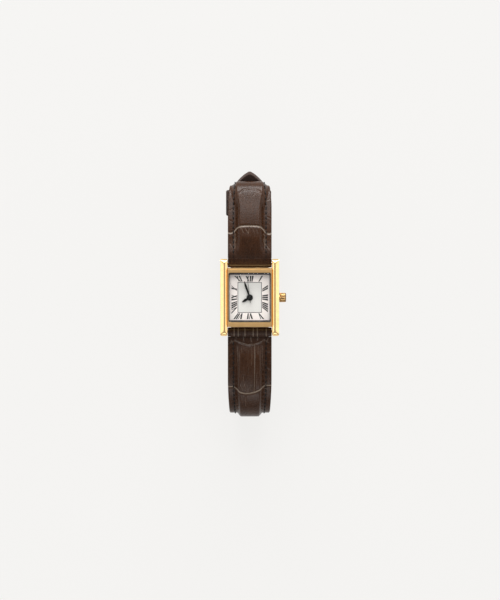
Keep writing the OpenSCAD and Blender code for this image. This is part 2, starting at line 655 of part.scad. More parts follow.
module dial_print() color(near_black) translate([0, 0, dial_top]) {
    linear_extrude(print_t) difference() {
        square([track_w, track_l], center = true);
        square([track_w - 2 * track_line, track_l - 2 * track_line], center = true);
    }
    for (h = [0 : 11]) figure(h);
}

// Movement: levels of the wheels above the case back, and where their axes stand
wheel_t = 0.18;
level_a = 1.46;
level_b = 1.74;
level_c = 2.02;
level_d = 2.28;
plate_z = 2.5;
works_z = 2.9;
arbor_r = 0.1;
holder_from = 1.35;
bridge_z = 1.02;
bridge_t = 0.28;

// Teeth of each wheel and pinion
rotor_n = 6;
inter_n = 48;
inter_pinion_n = 8;
seconds_n = 30;
seconds_pinion_n = 8;
third_n = 60;
third_pinion_n = 8;
centre_n = 64;
cannon_n = 12;
minute_n = 36;
minute_pinion_n = 10;
hour_n = 40;

// Axis distances; each pair's module follows from its distance and its teeth
inter_d = 1.71;
rotor_d = 1.89;
third_d = 1.62;
minute_d = 1.8;
inter_at = inter_d * [cos(135), sin(135)];
rotor_at = inter_at + rotor_d * [cos(120), sin(120)];
third_at = third_d * [cos(45), sin(45)];
minute_at = minute_d * [cos(60), sin(60)];
function gear_module(d, a, b) = 2 * d / (a + b);

// Spur gear with straight-sided teeth; a tooth points along +X when phase is 0
module gear(n, m, h, bore, phase = 0) {
    pitch_r = n * m / 2;
    tip = pitch_r + 0.65 * m;
    root = pitch_r - 0.95 * m;
    step = 360 / n;
    difference() {
        linear_extrude(h) polygon([for (i = [0 : n - 1]) let (a = i * step + phase) each [
            root * arc_at(a - 0.3 * step), tip * arc_at(a - 0.12 * step),
            tip * arc_at(a + 0.12 * step), root * arc_at(a + 0.3 * step)]]);
        translate([0, 0, -1]) cylinder(h = h + 2, r = bore, $fn = 48);
    }
}
module at_axis(p, z = 0) translate([p[0], p[1], z]) children();
module arbor(from, to) translate([0, 0, from]) cylinder(h = to - from, r = arbor_r, $fn = 32);
magnet_r = 0.55;
module rotor() color(steel) at_axis(rotor_at) {
    arbor(bridge_z + 0.05, works_z - 0.1);
    translate([0, 0, level_a])
        gear(rotor_n, gear_module(rotor_d, rotor_n, inter_n), wheel_t, arbor_r - 0.01, 30);
    translate([0, 0, level_c]) cylinder(h = 0.4, r = magnet_r, $fn = 48);
}
module intermediate_wheel() color([0.8, 0.65, 0.3]) at_axis(inter_at) {
    arbor(bridge_z + 0.05, works_z - 0.1);
    translate([0, 0, level_a])
        gear(inter_n, gear_module(rotor_d, rotor_n, inter_n), wheel_t, arbor_r - 0.01, 0);
    translate([0, 0, level_a + wheel_t - 0.01]) cylinder(h = 0.12, r = 0.22, $fn = 32);
    translate([0, 0, level_b])
        gear(inter_pinion_n, gear_module(inter_d, inter_pinion_n, seconds_n), wheel_t, arbor_r - 0.01);
}
seconds_top = 4.72;
minute_top = 4.38;
hour_top = 4.02;
module seconds_wheel() color([0.8, 0.65, 0.3]) {
    arbor(bridge_z + 0.05, seconds_top + hand_t + 0.06);
    translate([0, 0, level_b])
        gear(seconds_n, gear_module(inter_d, inter_pinion_n, seconds_n), wheel_t, arbor_r - 0.01, 3);
    translate([0, 0, level_b + wheel_t - 0.01]) cylinder(h = 0.12, r = 0.2, $fn = 32);
    translate([0, 0, level_c])
        gear(seconds_pinion_n, gear_module(third_d, seconds_pinion_n, third_n), wheel_t, arbor_r - 0.01);
}
module third_wheel() color([0.8, 0.65, 0.3]) at_axis(third_at) {
    arbor(bridge_z + 0.05, works_z - 0.1);
    translate([0, 0, level_c])
        gear(third_n, gear_module(third_d, seconds_pinion_n, third_n), wheel_t, arbor_r - 0.01, 0);
    translate([0, 0, level_c + wheel_t - 0.01]) cylinder(h = 0.1, r = 0.18, $fn = 32);
    translate([0, 0, level_d])
        gear(third_pinion_n, gear_module(third_d, third_pinion_n, centre_n), wheel_t, arbor_r - 0.01);
}
cannon_r = 0.28;
hour_tube_r = 0.5;
module tube(from, to, outer, inner) translate([0, 0, from]) difference() {
    cylinder(h = to - from, r = outer, $fn = 64);
    translate([0, 0, -1]) cylinder(h = to - from + 2, r = inner, $fn = 64);
}
module centre_wheel() color([0.8, 0.65, 0.3]) {
    translate([0, 0, level_d])
        gear(centre_n, gear_module(third_d, third_pinion_n, centre_n), wheel_t, cannon_r - 0.01, 2.8125);
    tube(level_d, minute_top + hand_t, cannon_r, arbor_r + running);
    translate([0, 0, works_z + 0.07])
        gear(cannon_n, gear_module(minute_d, cannon_n, minute_n), 0.14, cannon_r - 0.01, 0);
}
module minute_wheel() color([0.8, 0.65, 0.3]) at_axis(minute_at, works_z + 0.07) difference() {
    union() {
        gear(minute_n, gear_module(minute_d, cannon_n, minute_n), 0.14, 0.05, 5);
        translate([0, 0, 0.13]) cylinder(h = 0.09, r = 0.26, $fn = 32);
        translate([0, 0, 0.21])
            gear(minute_pinion_n, gear_module(minute_d, minute_pinion_n, hour_n), 0.16, 0.05);
    }
    translate([0, 0, -1]) cylinder(h = 3, r = 0.12 + running, $fn = 32);
}
module hour_wheel() color([0.8, 0.65, 0.3]) {
    translate([0, 0, works_z + 0.28])
        gear(hour_n, gear_module(minute_d, minute_pinion_n, hour_n), 0.16, hour_tube_r - 0.01, 4.5);
    tube(works_z + 0.28, hour_top + hand_t, hour_tube_r, cannon_r + running);
}

// Hands, drawn towards twelve and turned to the time shown
hour_angle = 238.4;
minute_angle = 341;
seconds_angle = 353;
module hand_blade(points, hub, bore, turn, z) translate([0, 0, z]) rotate([0, 0, -turn])
    difference() {
        union() {
            linear_extrude(hand_t) polygon(points);
            cylinder(h = hand_t, d = hub, $fn = 64);
        }
        translate([0, 0, -1]) cylinder(h = 3, r = bore, $fn = 48);
    }
module hour_hand() color(near_black) hand_blade([[-0.26, 0.5], [-0.46, 1.7], [0, hour_len],
    [0.46, 1.7], [0.26, 0.5]], hub_d, hour_tube_r + 0.01, hour_angle, hour_top);
module minute_hand() color(near_black) hand_blade([[-0.26, 0.3], [-0.34, minute_len - 1.8],
    [0, minute_len], [0.34, minute_len - 1.8], [0.26, 0.3]], 0.9 * hub_d, cannon_r + 0.01, minute_angle,
    minute_top);
module seconds_hand() color([0.35, 0.34, 0.33]) hand_blade([[-0.1, -1.7], [-0.07, seconds_len],
    [0.07, seconds_len], [0.1, -1.7]], 0.7 * hub_d, arbor_r + 0.01, seconds_angle, seconds_top);

// Stem, crown and setting parts
stem_from = 3.3;
crown_gap = 0.1;
crown_x = case_w / 2 + crown_gap;
hub_x = crown_x + 0.9;
groove_x = 5.2;
groove_w = 0.44;
groove_r = 0.2;
lever_l = 2.2;
flutes = 16;
flute_r = 0.15;
module on_stem(x) translate([x, 0, stem_z]) rotate([0, 90, 0]) children();
module crown_tube() color(gold) on_stem(cavity_w / 2 + 0.1) difference() {
    cylinder(h = crown_x + 0.4 - cavity_w / 2 - 0.1, d = tube_d, $fn = 64);
    translate([0, 0, -1]) cylinder(h = 6, d = stem_d + 2 * running, $fn = 64);
}
module crown_gasket() color(near_black) on_stem(crown_x + 0.06) difference() {
    cylinder(h = 0.28, d = tube_d + 0.32, $fn = 64);
    translate([0, 0, -1]) cylinder(h = 3, d = tube_d + 0.08, $fn = 64);
}
module crown() color(gold) on_stem(crown_x) difference() {
    rotate_extrude($fn = 96) polygon([[0, 0], [crown_d / 2 - 0.15, 0], [crown_d / 2, 0.15],
        [crown_d / 2, crown_l - 0.35], [crown_d / 2 - 0.35, crown_l - 0.05],
        [crown_d / 2 - 0.5, crown_l], [0, crown_l]]);
    translate([0, 0, -1]) cylinder(h = 1.9, d = tube_d + 0.4, $fn = 64);
    cylinder(h = 1.4, d = stem_d + 0.02, $fn = 48);
    for (i = [0 : flutes - 1]) rotate([0, 0, i * 360 / flutes])
        translate([crown_d / 2 + 0.04, 0, -0.1]) cylinder(h = crown_l + 1, r = flute_r, $fn = 24);
}
module stem() color(steel) difference() {
    on_stem(stem_from) cylinder(h = hub_x + 0.48 - stem_from, d = stem_d, $fn = 48);
    on_stem(groove_x - groove_w / 2) difference() {
        cylinder(h = groove_w, r = 1, $fn = 48);
        translate([0, 0, -1]) cylinder(h = 3, r = groove_r, $fn = 48);
    }
}
module sliding_pinion() color(steel) on_stem(stem_from + 0.3)
    gear(10, 0.085, 0.9, stem_d / 2 + 0.005);
module setting_lever() color(steel) translate([groove_x, -lever_l, stem_z - 0.1]) difference() {
    union() {
        cylinder(h = 0.2, r = 0.6, $fn = 48);
        translate([-0.15, 0, 0]) cube([0.3, lever_l - groove_r - running, 0.2]);
    }
    translate([0, 0, -1]) cylinder(h = 3, r = 0.3 + running, $fn = 48);
}
lever_pin_from = stem_z - 0.5;

// Plate, bridge, holder and the electric parts
// The battery fills the space between the centre wheel and the plate's edge
battery_x = plate_w / 2 - 3.6;
battery_edge = 0.25;
wheel_clear = 1.62;
battery_far = plate_l / 2 - battery_edge;
battery_r = (battery_x * battery_x + battery_far * battery_far - wheel_clear * wheel_clear)
    / (2 * (wheel_clear + battery_far));
battery_at = [-battery_x, battery_r - battery_far];
battery_z = 1.1;
battery_h = 2.0;
coil_at = [-2.1, plate_l / 2 - 1.475];
coil_len = 7;
coil_r = 0.62;
coil_z = 1.8;
window_x = 3.1;
pillars = [[0.4, 3.4], [2.75, 3.4], [2.75, -0.7]];
module main_plate() color([0.82, 0.78, 0.68]) {
    difference() {
        translate([0, 0, plate_z]) linear_extrude(movement_top - plate_z) rounded(plate_w, plate_l, 0.8);
        at_axis(battery_at, 0) cylinder(h = 6, r = battery_r + 0.1, $fn = 96);
        translate([window_x, -3, 0]) cube([8, 3.9, 6]);
        translate([0, 0, 1]) cylinder(h = 4, r = cannon_r + running, $fn = 48);
        translate([0, 0, works_z]) cylinder(h = 2, r = 1.62, $fn = 64);
        at_axis(minute_at, works_z) cylinder(h = 2, r = 1.6, $fn = 64);
        for (p = [rotor_at, inter_at, third_at])
            at_axis(p, plate_z - 1) cylinder(h = works_z - plate_z + 0.95, r = arbor_r + running, $fn = 32);
        for (y = [-foot_y, foot_y]) translate([foot_x, y, dial_z - 0.4])
            cylinder(h = 1, d = foot_d + 0.06, $fn = 32);
    }
    at_axis(minute_at, works_z - 0.1) cylinder(h = 0.46, r = 0.12, $fn = 32);
    for (p = pillars) at_axis(p, bridge_z + bridge_t)
        cylinder(h = plate_z - bridge_z - bridge_t + 0.1, r = 0.35, $fn = 32);
    // Ear under the window that carries the setting lever's pin
    translate([groove_x - 0.7, -3.1, lever_pin_from]) cube([1.3, 1.4, 0.25]);
    translate([groove_x, -lever_l, lever_pin_from]) cylinder(h = 0.75, r = 0.3, $fn = 48);
}
module train_bridge() color([0.75, 0.72, 0.65]) difference() {
    translate([0, 0, bridge_z]) linear_extrude(bridge_t) {
        translate([-3, 0.4]) square([6.15, 3.5]);
        translate([1.9, -1.2]) square([1.25, 2]);
        circle(r = 0.7, $fn = 48);
    }
    for (p = [[0, 0], rotor_at, inter_at, third_at])
        at_axis(p, 0) cylinder(h = 3, r = arbor_r + running, $fn = 32);
}
module movement_holder() color([0.92, 0.92, 0.9]) difference() {
    translate([0, 0, holder_from]) linear_extrude(movement_top - holder_from) difference() {
        rounded(cavity_w - 2 * seat_gap, cavity_l - 2 * seat_gap, 0.75);
        rounded(plate_w + 2 * seat_gap, plate_l + 2 * seat_gap, 0.8);
    }
    on_stem(5) cylinder(h = 4, d = stem_d + 0.2, $fn = 48);
}
module coil() color([0.72, 0.42, 0.2]) translate([coil_at[0] - coil_len / 2, coil_at[1], coil_z])
    rotate([0, 90, 0]) {
        cylinder(h = coil_len, r = coil_r, $fn = 64);
        for (x = [-0.25, coil_len]) translate([-0.35, -0.35, x]) cube([0.7, 0.7, 0.25]);
    }
yoke_y = coil_at[1] - 1.4;
yoke_w = 0.65;
arm_w = 0.4;
tongue_half = 0.95;
module stator() color(steel) translate([0, 0, 2.1]) linear_extrude(0.3) difference() {
    x0 = coil_at[0] - coil_len / 2 - 0.35;
    union() {
        translate([x0, yoke_y]) square([coil_len + 0.7, yoke_w]);
        for (x = [x0 - arm_w, x0 + coil_len + 0.7]) translate([x, yoke_y]) square([arm_w, 2.1]);
        translate([rotor_at[0] - tongue_half, rotor_at[1] - 0.55])
            square([2 * tongue_half, yoke_y - rotor_at[1] + 0.65]);
    }
    translate(rotor_at) circle(r = magnet_r + 0.12, $fn = 48);
}
board_x = battery_r - battery_x + 0.55;
board_y = 0.375 - plate_l / 2;
board_w = plate_w / 2 - 0.3 - board_x;
board_l = 3.6;
board_t = 0.3;
board_z = 1.05;
quartz_r = 0.55;
module circuit_board() color([0.15, 0.35, 0.2]) translate([board_x, board_y, board_z])
    cube([board_w, board_l, board_t]);
module quartz_can() color([0.75, 0.75, 0.78])
    translate([board_x + 0.4, board_y + 0.9, board_z + board_t + 0.01 + quartz_r]) rotate([0, 90, 0])
        cylinder(h = board_w - 0.8, r = quartz_r, $fn = 48);
module battery() color([0.78, 0.78, 0.8]) at_axis(battery_at, battery_z) {
    cylinder(h = battery_h, r = battery_r, $fn = 96);
}
module battery_clamp() color([0.8, 0.68, 0.4]) {
    translate([battery_at[0] - battery_r + 0.1, battery_at[1] - 0.5, battery_z - 0.14])
        cube([2 * battery_r + 0.18, 1, 0.12]);
    translate([battery_at[0] + battery_r + 0.13, battery_at[1] - 0.5, battery_z - 0.14])
        cube([0.15, 1, plate_z - battery_z + 0.14]);
}

case_body();
bezel();
crystal();
crystal_gasket();
dial_flange();
dial();
dial_print();
case_back();
case_back_gasket();
crown_tube();
movement_holder();
main_plate();
train_bridge();
coil();
stator();
circuit_board();
quartz_can();
battery();
battery_clamp();
rotor();
intermediate_wheel();
seconds_wheel();
third_wheel();
centre_wheel();
minute_wheel();
hour_wheel();
hour_hand();
minute_hand();
seconds_hand();
crown();
stem();
crown_gasket();
sliding_pinion();
setting_lever();
strap_top_outer();
strap_top_lining();
strap_top_padding();
strap_top_stitching();
strap_top_bar_loop();
strap_buckle_loop();
strap_bottom_outer();
strap_bottom_lining();
strap_bottom_padding();
strap_bottom_stitching();
strap_bottom_bar_loop();
strap_tail();
fixed_keeper();
free_keeper();
buckle_frame();
buckle_tongue();
buckle_bar();
spring_bar_top();
spring_bar_bottom();
bar_spring_top();
bar_spring_bottom();
bar_tip_top_left();
bar_tip_top_right();
bar_tip_bottom_left();
bar_tip_bottom_right();
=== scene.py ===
"""Small rectangular wristwatch on a padded, embossed leather strap.

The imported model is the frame. This script gives its metal, glass and dial their finishes, puts finer
meshes in the place of its polished case and crown, dresses the strap in embossed, stitched leather, and sets
the camera and the light.
"""
from math import cos, pi, radians, sin, sqrt

import bmesh
import bpy
import numpy as np
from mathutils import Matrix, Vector


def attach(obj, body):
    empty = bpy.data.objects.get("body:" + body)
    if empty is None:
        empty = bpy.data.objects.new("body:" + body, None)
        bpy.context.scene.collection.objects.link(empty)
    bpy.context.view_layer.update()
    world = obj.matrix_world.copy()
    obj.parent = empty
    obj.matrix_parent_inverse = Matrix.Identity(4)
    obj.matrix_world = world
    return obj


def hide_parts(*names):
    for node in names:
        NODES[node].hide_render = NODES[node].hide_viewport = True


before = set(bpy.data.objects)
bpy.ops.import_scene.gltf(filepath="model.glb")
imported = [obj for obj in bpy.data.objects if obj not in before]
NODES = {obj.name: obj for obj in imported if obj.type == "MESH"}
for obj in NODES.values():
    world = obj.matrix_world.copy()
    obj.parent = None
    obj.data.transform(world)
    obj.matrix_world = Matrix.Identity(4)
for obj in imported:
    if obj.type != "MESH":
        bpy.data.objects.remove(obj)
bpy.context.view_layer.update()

MM = 0.001
SHARP_EDGE = radians(45)

# Camera and table, in millimetres
VIEW_LENGTH = 188.8
VIEW_DISTANCE = 2500
VIEW_CENTRE = (0.09, -0.8)
DIAL_TOP = 3.8
TABLE_Z = -25.1

# Brightness of the surroundings at the horizon and straight above, and the share of it that six o'clock sends
HORIZON = 0.75
ZENITH = 0.42
FRONT_SHARE = 0.5

# Where those brightnesses change over: height, and way to twelve o'clock, of a direction of length one
HORIZON_UP_TO = 0.75
ZENITH_FROM = 0.98
FRONT_UP_TO = -0.7
BACK_FROM = 0.1

# Lamps that look at the dial: place and size in metres, power in watts
LAMPS = {
    "key_lamp": ((0, 0.85, 1.0), (0.9, 0.5), 6.4),
    "window_lamp": ((0, 1.1, 0.3), (0.8, 0.4), 12.5),
    "left_lamp": ((-1.0, 0, 0.6), (0.5, 0.7), 1.0),
    "right_lamp": ((1.0, 0, 0.6), (0.5, 0.7), 0.95),
    "front_lamp": ((0, -1.0, 0.65), (0.6, 0.4), 2.4),
}

# Table top, and how much of its brightness a shadow leaves
FLOOR_COLOUR = (243, 242, 240)
FLOOR_GLOW = 0.9

# Strap sizes, in millimetres, as the solids have them
HEAD_W = 13.8
TAIL_W = 12.0
STRAP_T = 1.6
LINING_T = 0.7
LAYER_GAP = 0.05
PAD_H = 1.9
PAD_SIDE = 2.2
PAD_FROM = 0.5
PAD_RISE = 6
TOP_BEND_PAD = 0.68 * PAD_H
LOW_BEND_PAD = 0.6 * PAD_H
TOP_PAD_EARLY = 2.7
TOP_PAD_FALL = 6.5
LOW_PAD_EARLY = 6
LOW_PAD_FALL = 14
SPREAD_SIDE = 0.45
SPREAD_EARLY = 9
SPREAD_L = 7
SHORT_TAPER_EARLY = 8
SHORT_TAPER_L = 13
LONG_TAPER_EARLY = 14
LONG_TAPER_L = 23
EDGE_ROUND = 0.4
CROWN_FLANK = 0.36
HEAD_RISE = 0.65
HEAD_RISE_L = 6
SWEEP_STEP = 0.4
STITCH_SIDE = 1.75
STITCH_PITCH = 1.5
STITCH_L = 1.0
STITCH_R = 0.16
STITCH_FROM = 2
TOP_STITCH_PAST = 1
LOW_STITCH_PAST = 9

# Case and crown, in millimetres, as the solids have them
BAR_X = 8.125
BAR_W = 2.25
BAR_L = 24.3
BAR_H = 5.9
BAR_LIFT = 0.35
BAR_END_R = 2.1
BAR_CORNER_R = 0.55
CREST_R = 1.4
WALL_X = 7.2
WALL_IN = 8.1
WALL_OUT = 9.3
WALL_TOP = 5.1
CROWN_X = 9.35
CROWN_L = 2.1
CROWN_R = 1.475
CROWN_BORE = 0.95
STEM_Z = 2.9
FLUTES = 16
FLUTE_R = 0.15

# Ridge along the crest of a side bar: its slope, its place towards the dial and its height over the crest
CREST_EDGE = 0.42
CREST_SHIFT = -0.2
CREST_RIDGE = 0.04

# Height in millimetres from which the wheels' arbors are black, as they show over the dial
BLACK_FROM = 4.0
BLACK_BY = 4.05

# Folds round the spring bars, in millimetres
LUG_Y = 10.75
LUG_Z = 1.5
FOLD_R = 1.3
FOLD_REACH = 1.55
FOLD_HEAD = 2.27
BORE_R = 0.7

# Strap loop in the side view, in millimetres; TAIL_SEAM is how far the long half reaches over the tail
STRAP_START = 12.35
INNER_Z = 0.2
REACH_TOP = 36.7
REACH_LOW = 37.6
LOOP_DEPTH = 25.1
WRAP_T = 1.0
LAY_GAP = 0.1
BUCKLE_Y = 8.0
LOOP_END = 1.6
BEND_R = 6.2
KNEE_R = 8.0
SLOPE = radians(40)
TAIL_OUTER_Z = WRAP_T + LAY_GAP - LOOP_DEPTH
TAIL_INNER_Z = TAIL_OUTER_Z + STRAP_T
SHORT_INNER_Z = TAIL_INNER_Z + LAY_GAP + STRAP_T
KNEE_Y = BUCKLE_Y + 10
KNEE_Z = SHORT_INNER_Z + KNEE_R
TOP_BEND_Y = REACH_TOP - STRAP_T - TOP_BEND_PAD
SLOPE_LEN = (TOP_BEND_Y - BEND_R * (1 - sin(SLOPE)) - KNEE_Y - KNEE_R * sin(SLOPE)) / cos(SLOPE)
TOP_BEND_Z = SHORT_INNER_Z + KNEE_R * (1 - cos(SLOPE)) + SLOPE_LEN * sin(SLOPE) + BEND_R * cos(SLOPE)
LOW_BEND_Y = REACH_LOW - STRAP_T - LOW_BEND_PAD
LOW_BEND_Z = -11
LOW_FLAT_Z = STRAP_T - LOOP_DEPTH
LOW_FLAT_FROM = -20
LOW_FLAT_TO = -9.5
TAIL_FROM = -3.5
TAIL_SEAM = 0.04
LEVEL_END = 0.4
TOP_RUN = 9
TOP_DROP = 4.5
LOW_RUN = 10
LOW_DROP = 6
LOW_TURN = 7
LOW_LEAD = 8


def smooth(t):
    """0 below 0, 1 above 1, and a smooth step between."""
    c = np.clip(t, 0, 1)
    return c * c * (3 - 2 * c)


def head_rise(s):
    """Extra height of the strap beside its fold, which the leather runs down from."""
    return HEAD_RISE * (1 - smooth(s / HEAD_RISE_L))


def spread(half, count):
    """Places from -half to half that crowd together towards both ends."""
    return half * np.sin(np.linspace(-0.5, 0.5, count) * pi)


def groove(distance, width):
    """1 on a line and 0 beside it, from the distance to the line."""
    return np.exp(-(distance / width) ** 2)


def bezier(points, steps):
    """Points along a cubic curve, both ends included."""
    t = np.linspace(0, 1, steps + 1)[:, None]
    p = np.array(points, float)
    return (1 - t) ** 3 * p[0] + 3 * (1 - t) ** 2 * t * p[1] + 3 * (1 - t) * t * t * p[2] + t ** 3 * p[3]


def arc(centre, radius, start, end, steps):
    """Points along an arc in the side view, without its first point."""
    a = np.linspace(start, end, steps + 1)[1:, None]
    return np.array(centre) + radius * np.hstack([np.cos(a), np.sin(a)])


class Path:
    """One half of the strap in the side view: the lining's inner line, as [y, z] in millimetres."""

    def __init__(self, points, side, bend_points):
        self.points = np.array(points, float)
        self.side = side
        steps = np.linalg.norm(np.diff(self.points, axis=0), axis=1)
        self.lengths = np.concatenate([[0], np.cumsum(steps)])
        self.end = self.lengths[-1]
        self.bend_s = self.lengths[bend_points]

    def at(self, s):
        """Position at a length along the path."""
        return np.stack([np.interp(s, self.lengths, self.points[:, k]) for k in (0, 1)], axis=-1)

    def along(self, s):
        """Unit direction at a length along the path."""
        reach = 0.25
        low = np.clip(np.asarray(s) - reach, 0, self.end)
        high = np.clip(np.asarray(s) + reach, 0, self.end)
        step = self.at(high) - self.at(low)
        return step / np.linalg.norm(step, axis=-1, keepdims=True)

    def pad(self, s):
        """Padding height at a length along the path."""
        if self.side > 0:
            fall = (s - self.bend_s + TOP_PAD_EARLY) / TOP_PAD_FALL
        else:
            fall = (s - self.bend_s + LOW_PAD_EARLY) / LOW_PAD_FALL
        return PAD_H * smooth((s - PAD_FROM) / PAD_RISE) * (1 - smooth(fall))

    def width(self, s):
        """Width of the strap, which narrows to the tail's width round the bend."""
        if self.side > 0:
            t = (s - self.bend_s + SHORT_TAPER_EARLY) / SHORT_TAPER_L
        else:
            t = (s - self.bend_s + LONG_TAPER_EARLY) / LONG_TAPER_L
        return HEAD_W + (TAIL_W - HEAD_W) * smooth(t)

    def foot(self, s):
        """Distance from the middle line to the foot of the padding."""
        margin = PAD_SIDE
        if self.side > 0:
            margin = PAD_SIDE + (SPREAD_SIDE - PAD_SIDE) * smooth((s - self.bend_s + SPREAD_EARLY) / SPREAD_L)
        return self.width(s) / 2 - margin

    def crown(self, s, across):
        """Height of the padded crown above the flat strap."""
        return self.pad(s) * smooth((1 - np.abs(across) / self.foot(s)) / CROWN_FLANK)

    def place(self, s, across, out):
        """Points in metres from length, distance across and height above the inner line."""
        s, across, out = np.broadcast_arrays(s, across, out)
        p = self.at(s)
        t = self.along(s)
        y = p[..., 0] - self.side * t[..., 1] * out
        z = p[..., 1] + self.side * t[..., 0] * out
        return np.stack([across, y, z], axis=-1) * MM

    def length_at_reach(self, reach, out):
        """Length along the path whose outer surface is seen from above at a distance from the dial centre."""
        s = np.linspace(0, self.bend_s, 400)
        seen = np.abs(self.place(s, 0, out)[:, 1]) / MM
        return np.interp(reach, np.maximum.accumulate(seen), s)


def short_path():
    """From the twelve o'clock lug round to the buckle."""
    lead = bezier([[STRAP_START, INNER_Z], [STRAP_START + TOP_RUN, INNER_Z],
                   [TOP_BEND_Y, TOP_BEND_Z + TOP_DROP], [TOP_BEND_Y, TOP_BEND_Z]], 60)
    bend = arc([TOP_BEND_Y - BEND_R, TOP_BEND_Z], BEND_R, 0, SLOPE - pi / 2, 15)
    knee_start = np.array([[KNEE_Y + KNEE_R * sin(SLOPE), KNEE_Z - KNEE_R * cos(SLOPE)]])
    knee = arc([KNEE_Y, KNEE_Z], KNEE_R, SLOPE - pi / 2, -pi / 2, 12)
    end = np.array([[BUCKLE_Y + LOOP_END, SHORT_INNER_Z]])
    return Path(np.vstack([lead, bend, knee_start, knee, end]), 1, 60)


def long_path():
    """From the six o'clock lug to the start of the flat tail."""
    lead = bezier([[-STRAP_START, INNER_Z], [-STRAP_START - LOW_RUN, INNER_Z],
                   [-LOW_BEND_Y, LOW_BEND_Z + LOW_DROP], [-LOW_BEND_Y, LOW_BEND_Z]], 60)
    bend = bezier([[-LOW_BEND_Y, LOW_BEND_Z], [-LOW_BEND_Y, LOW_BEND_Z - LOW_TURN],
                   [LOW_FLAT_FROM - LOW_LEAD, LOW_FLAT_Z], [LOW_FLAT_FROM, LOW_FLAT_Z]], 36)[1:]
    t = np.linspace(0, 1, 19)
    rise = np.stack([LOW_FLAT_TO + (TAIL_FROM - LEVEL_END - LOW_FLAT_TO) * t,
                     LOW_FLAT_Z + (TAIL_INNER_Z - LOW_FLAT_Z) * smooth(t)], axis=-1)
    end = np.array([[TAIL_FROM + TAIL_SEAM, TAIL_INNER_Z]])
    return Path(np.vstack([lead, bend, rise, end]), -1, 60)


SHORT = short_path()
LONG = long_path()


def linear(rgb):
    """A colour as the eye reads it, 0 to 255, as the shader's linear value."""
    c = np.array(rgb, float) / 255
    low = c / 12.92
    high = ((c + 0.055) / 1.055) ** 2.4
    return (*np.where(c <= 0.04045, low, high), 1.0)


class Shader:
    """A Principled material, with short calls that add procedural detail to it."""

    def __init__(self, name, colour, rough, metal=0.0, **settings):
        self.material = bpy.data.materials.new(name)
        self.material.use_nodes = True
        self.tree = self.material.node_tree
        self.bsdf = self.tree.nodes["Principled BSDF"]
        self.bsdf.inputs["Base Color"].default_value = linear(colour)
        self.bsdf.inputs["Roughness"].default_value = rough
        self.bsdf.inputs["Metallic"].default_value = metal
        for key, value in settings.items():
            self.bsdf.inputs[key.replace("_", " ")].default_value = value
        self.coordinates = self.tree.nodes.new("ShaderNodeTexCoord").outputs["Object"]
        self.height = None

    def link(self, a, b):
        self.tree.links.new(a, b)

    def node(self, kind, **inputs):
        """A new node of the material, with values for its inputs."""
        node = self.tree.nodes.new("ShaderNode" + kind)
        for key, value in inputs.items():
            node.inputs[key].default_value = value
        return node

    def mapped(self, size, turn=0.0):
        """Object coordinates whose unit is the given size in millimetres, as one number or three."""
        scale = [v * MM for v in np.broadcast_to(size, 3)]
        mapping = self.node("Mapping", Scale=scale, Rotation=(0, 0, turn))
        mapping.vector_type = "TEXTURE"
        self.link(self.coordinates, mapping.inputs["Vector"])
        return mapping.outputs["Vector"]

    def noise(self, size, detail, turn=0.0):
        """Cloudy pattern with patches of the given size, mostly between 0.3 and 0.7."""
        node = self.node("TexNoise", Scale=1.0, Detail=detail, Roughness=0.55)
        self.link(self.mapped(size, turn), node.inputs["Vector"])
        return node.outputs["Fac"]

    def cells(self, size):
        """Distance to the border of irregular cells of the given size."""
        node = self.node("TexVoronoi", Scale=1.0)
        node.feature = "DISTANCE_TO_EDGE"
        self.link(self.mapped(size), node.inputs["Vector"])
        return node.outputs["Distance"]

    def attribute(self, name):
        """A number that the mesh carries on its vertices."""
        node = self.node("Attribute")
        node.attribute_name = name
        return node.outputs["Fac"]

    def axis(self, name):
        """One of the object coordinates, in metres."""
        node = self.node("SeparateXYZ")
        self.link(self.coordinates, node.inputs[0])
        return node.outputs[name]

    def remap(self, value, low, high, to_low=0.0, to_high=1.0):
        """Brings a value between low and high to the second range."""
        node = self.node("MapRange")
        self.link(value, node.inputs["Value"])
        for key, number in (("From Min", low), ("From Max", high), ("To Min", to_low), ("To Max", to_high)):
            node.inputs[key].default_value = number
        return node.outputs["Result"]

    def maths(self, kind, a, b):
        """A calculation with two numbers or results of nodes."""
        node = self.node("Math")
        node.operation = kind
        for socket, value in zip(node.inputs, (a, b)):
            if isinstance(value, (int, float)):
                socket.default_value = value
            else:
                self.link(value, socket)
        return node.outputs["Value"]

    def tint(self, amount, other):
        """Mixes the base colour towards another one."""
        node = self.node("Mix")
        node.data_type = "RGBA"
        self.link(amount, node.inputs["Factor"])
        socket = self.bsdf.inputs["Base Color"]
        if socket.is_linked:
            self.link(socket.links[0].from_socket, node.inputs["A"])
        else:
            node.inputs["A"].default_value = socket.default_value
        node.inputs["B"].default_value = linear(other)
        self.link(node.outputs["Result"], socket)

    def mottle(self, size, detail, low, high, share, other):
        """Patches of another colour, from low to high in the cloudy pattern."""
        self.tint(self.remap(self.noise(size, detail), low, high, 0, share), other)

    def roughen(self, size, detail, low, high):
        """Varies the roughness between two values by a cloudy pattern."""
        roughness = self.remap(self.noise(size, detail), 0.3, 0.7, low, high)
        self.link(roughness, self.bsdf.inputs["Roughness"])

    def relief(self, height, depth):
        """Adds a bump of the given depth in millimetres over those already there."""
        node = self.node("Bump", Strength=1.0, Distance=depth * MM)
        self.link(height, node.inputs["Height"])
        if self.height is not None:
            self.link(self.height, node.inputs["Normal"])
        self.height = node.outputs["Normal"]
        self.link(self.height, self.bsdf.inputs["Normal"])


def scaled(colour, share):
    """A darker shade of a colour."""
    return tuple(c * share for c in colour)


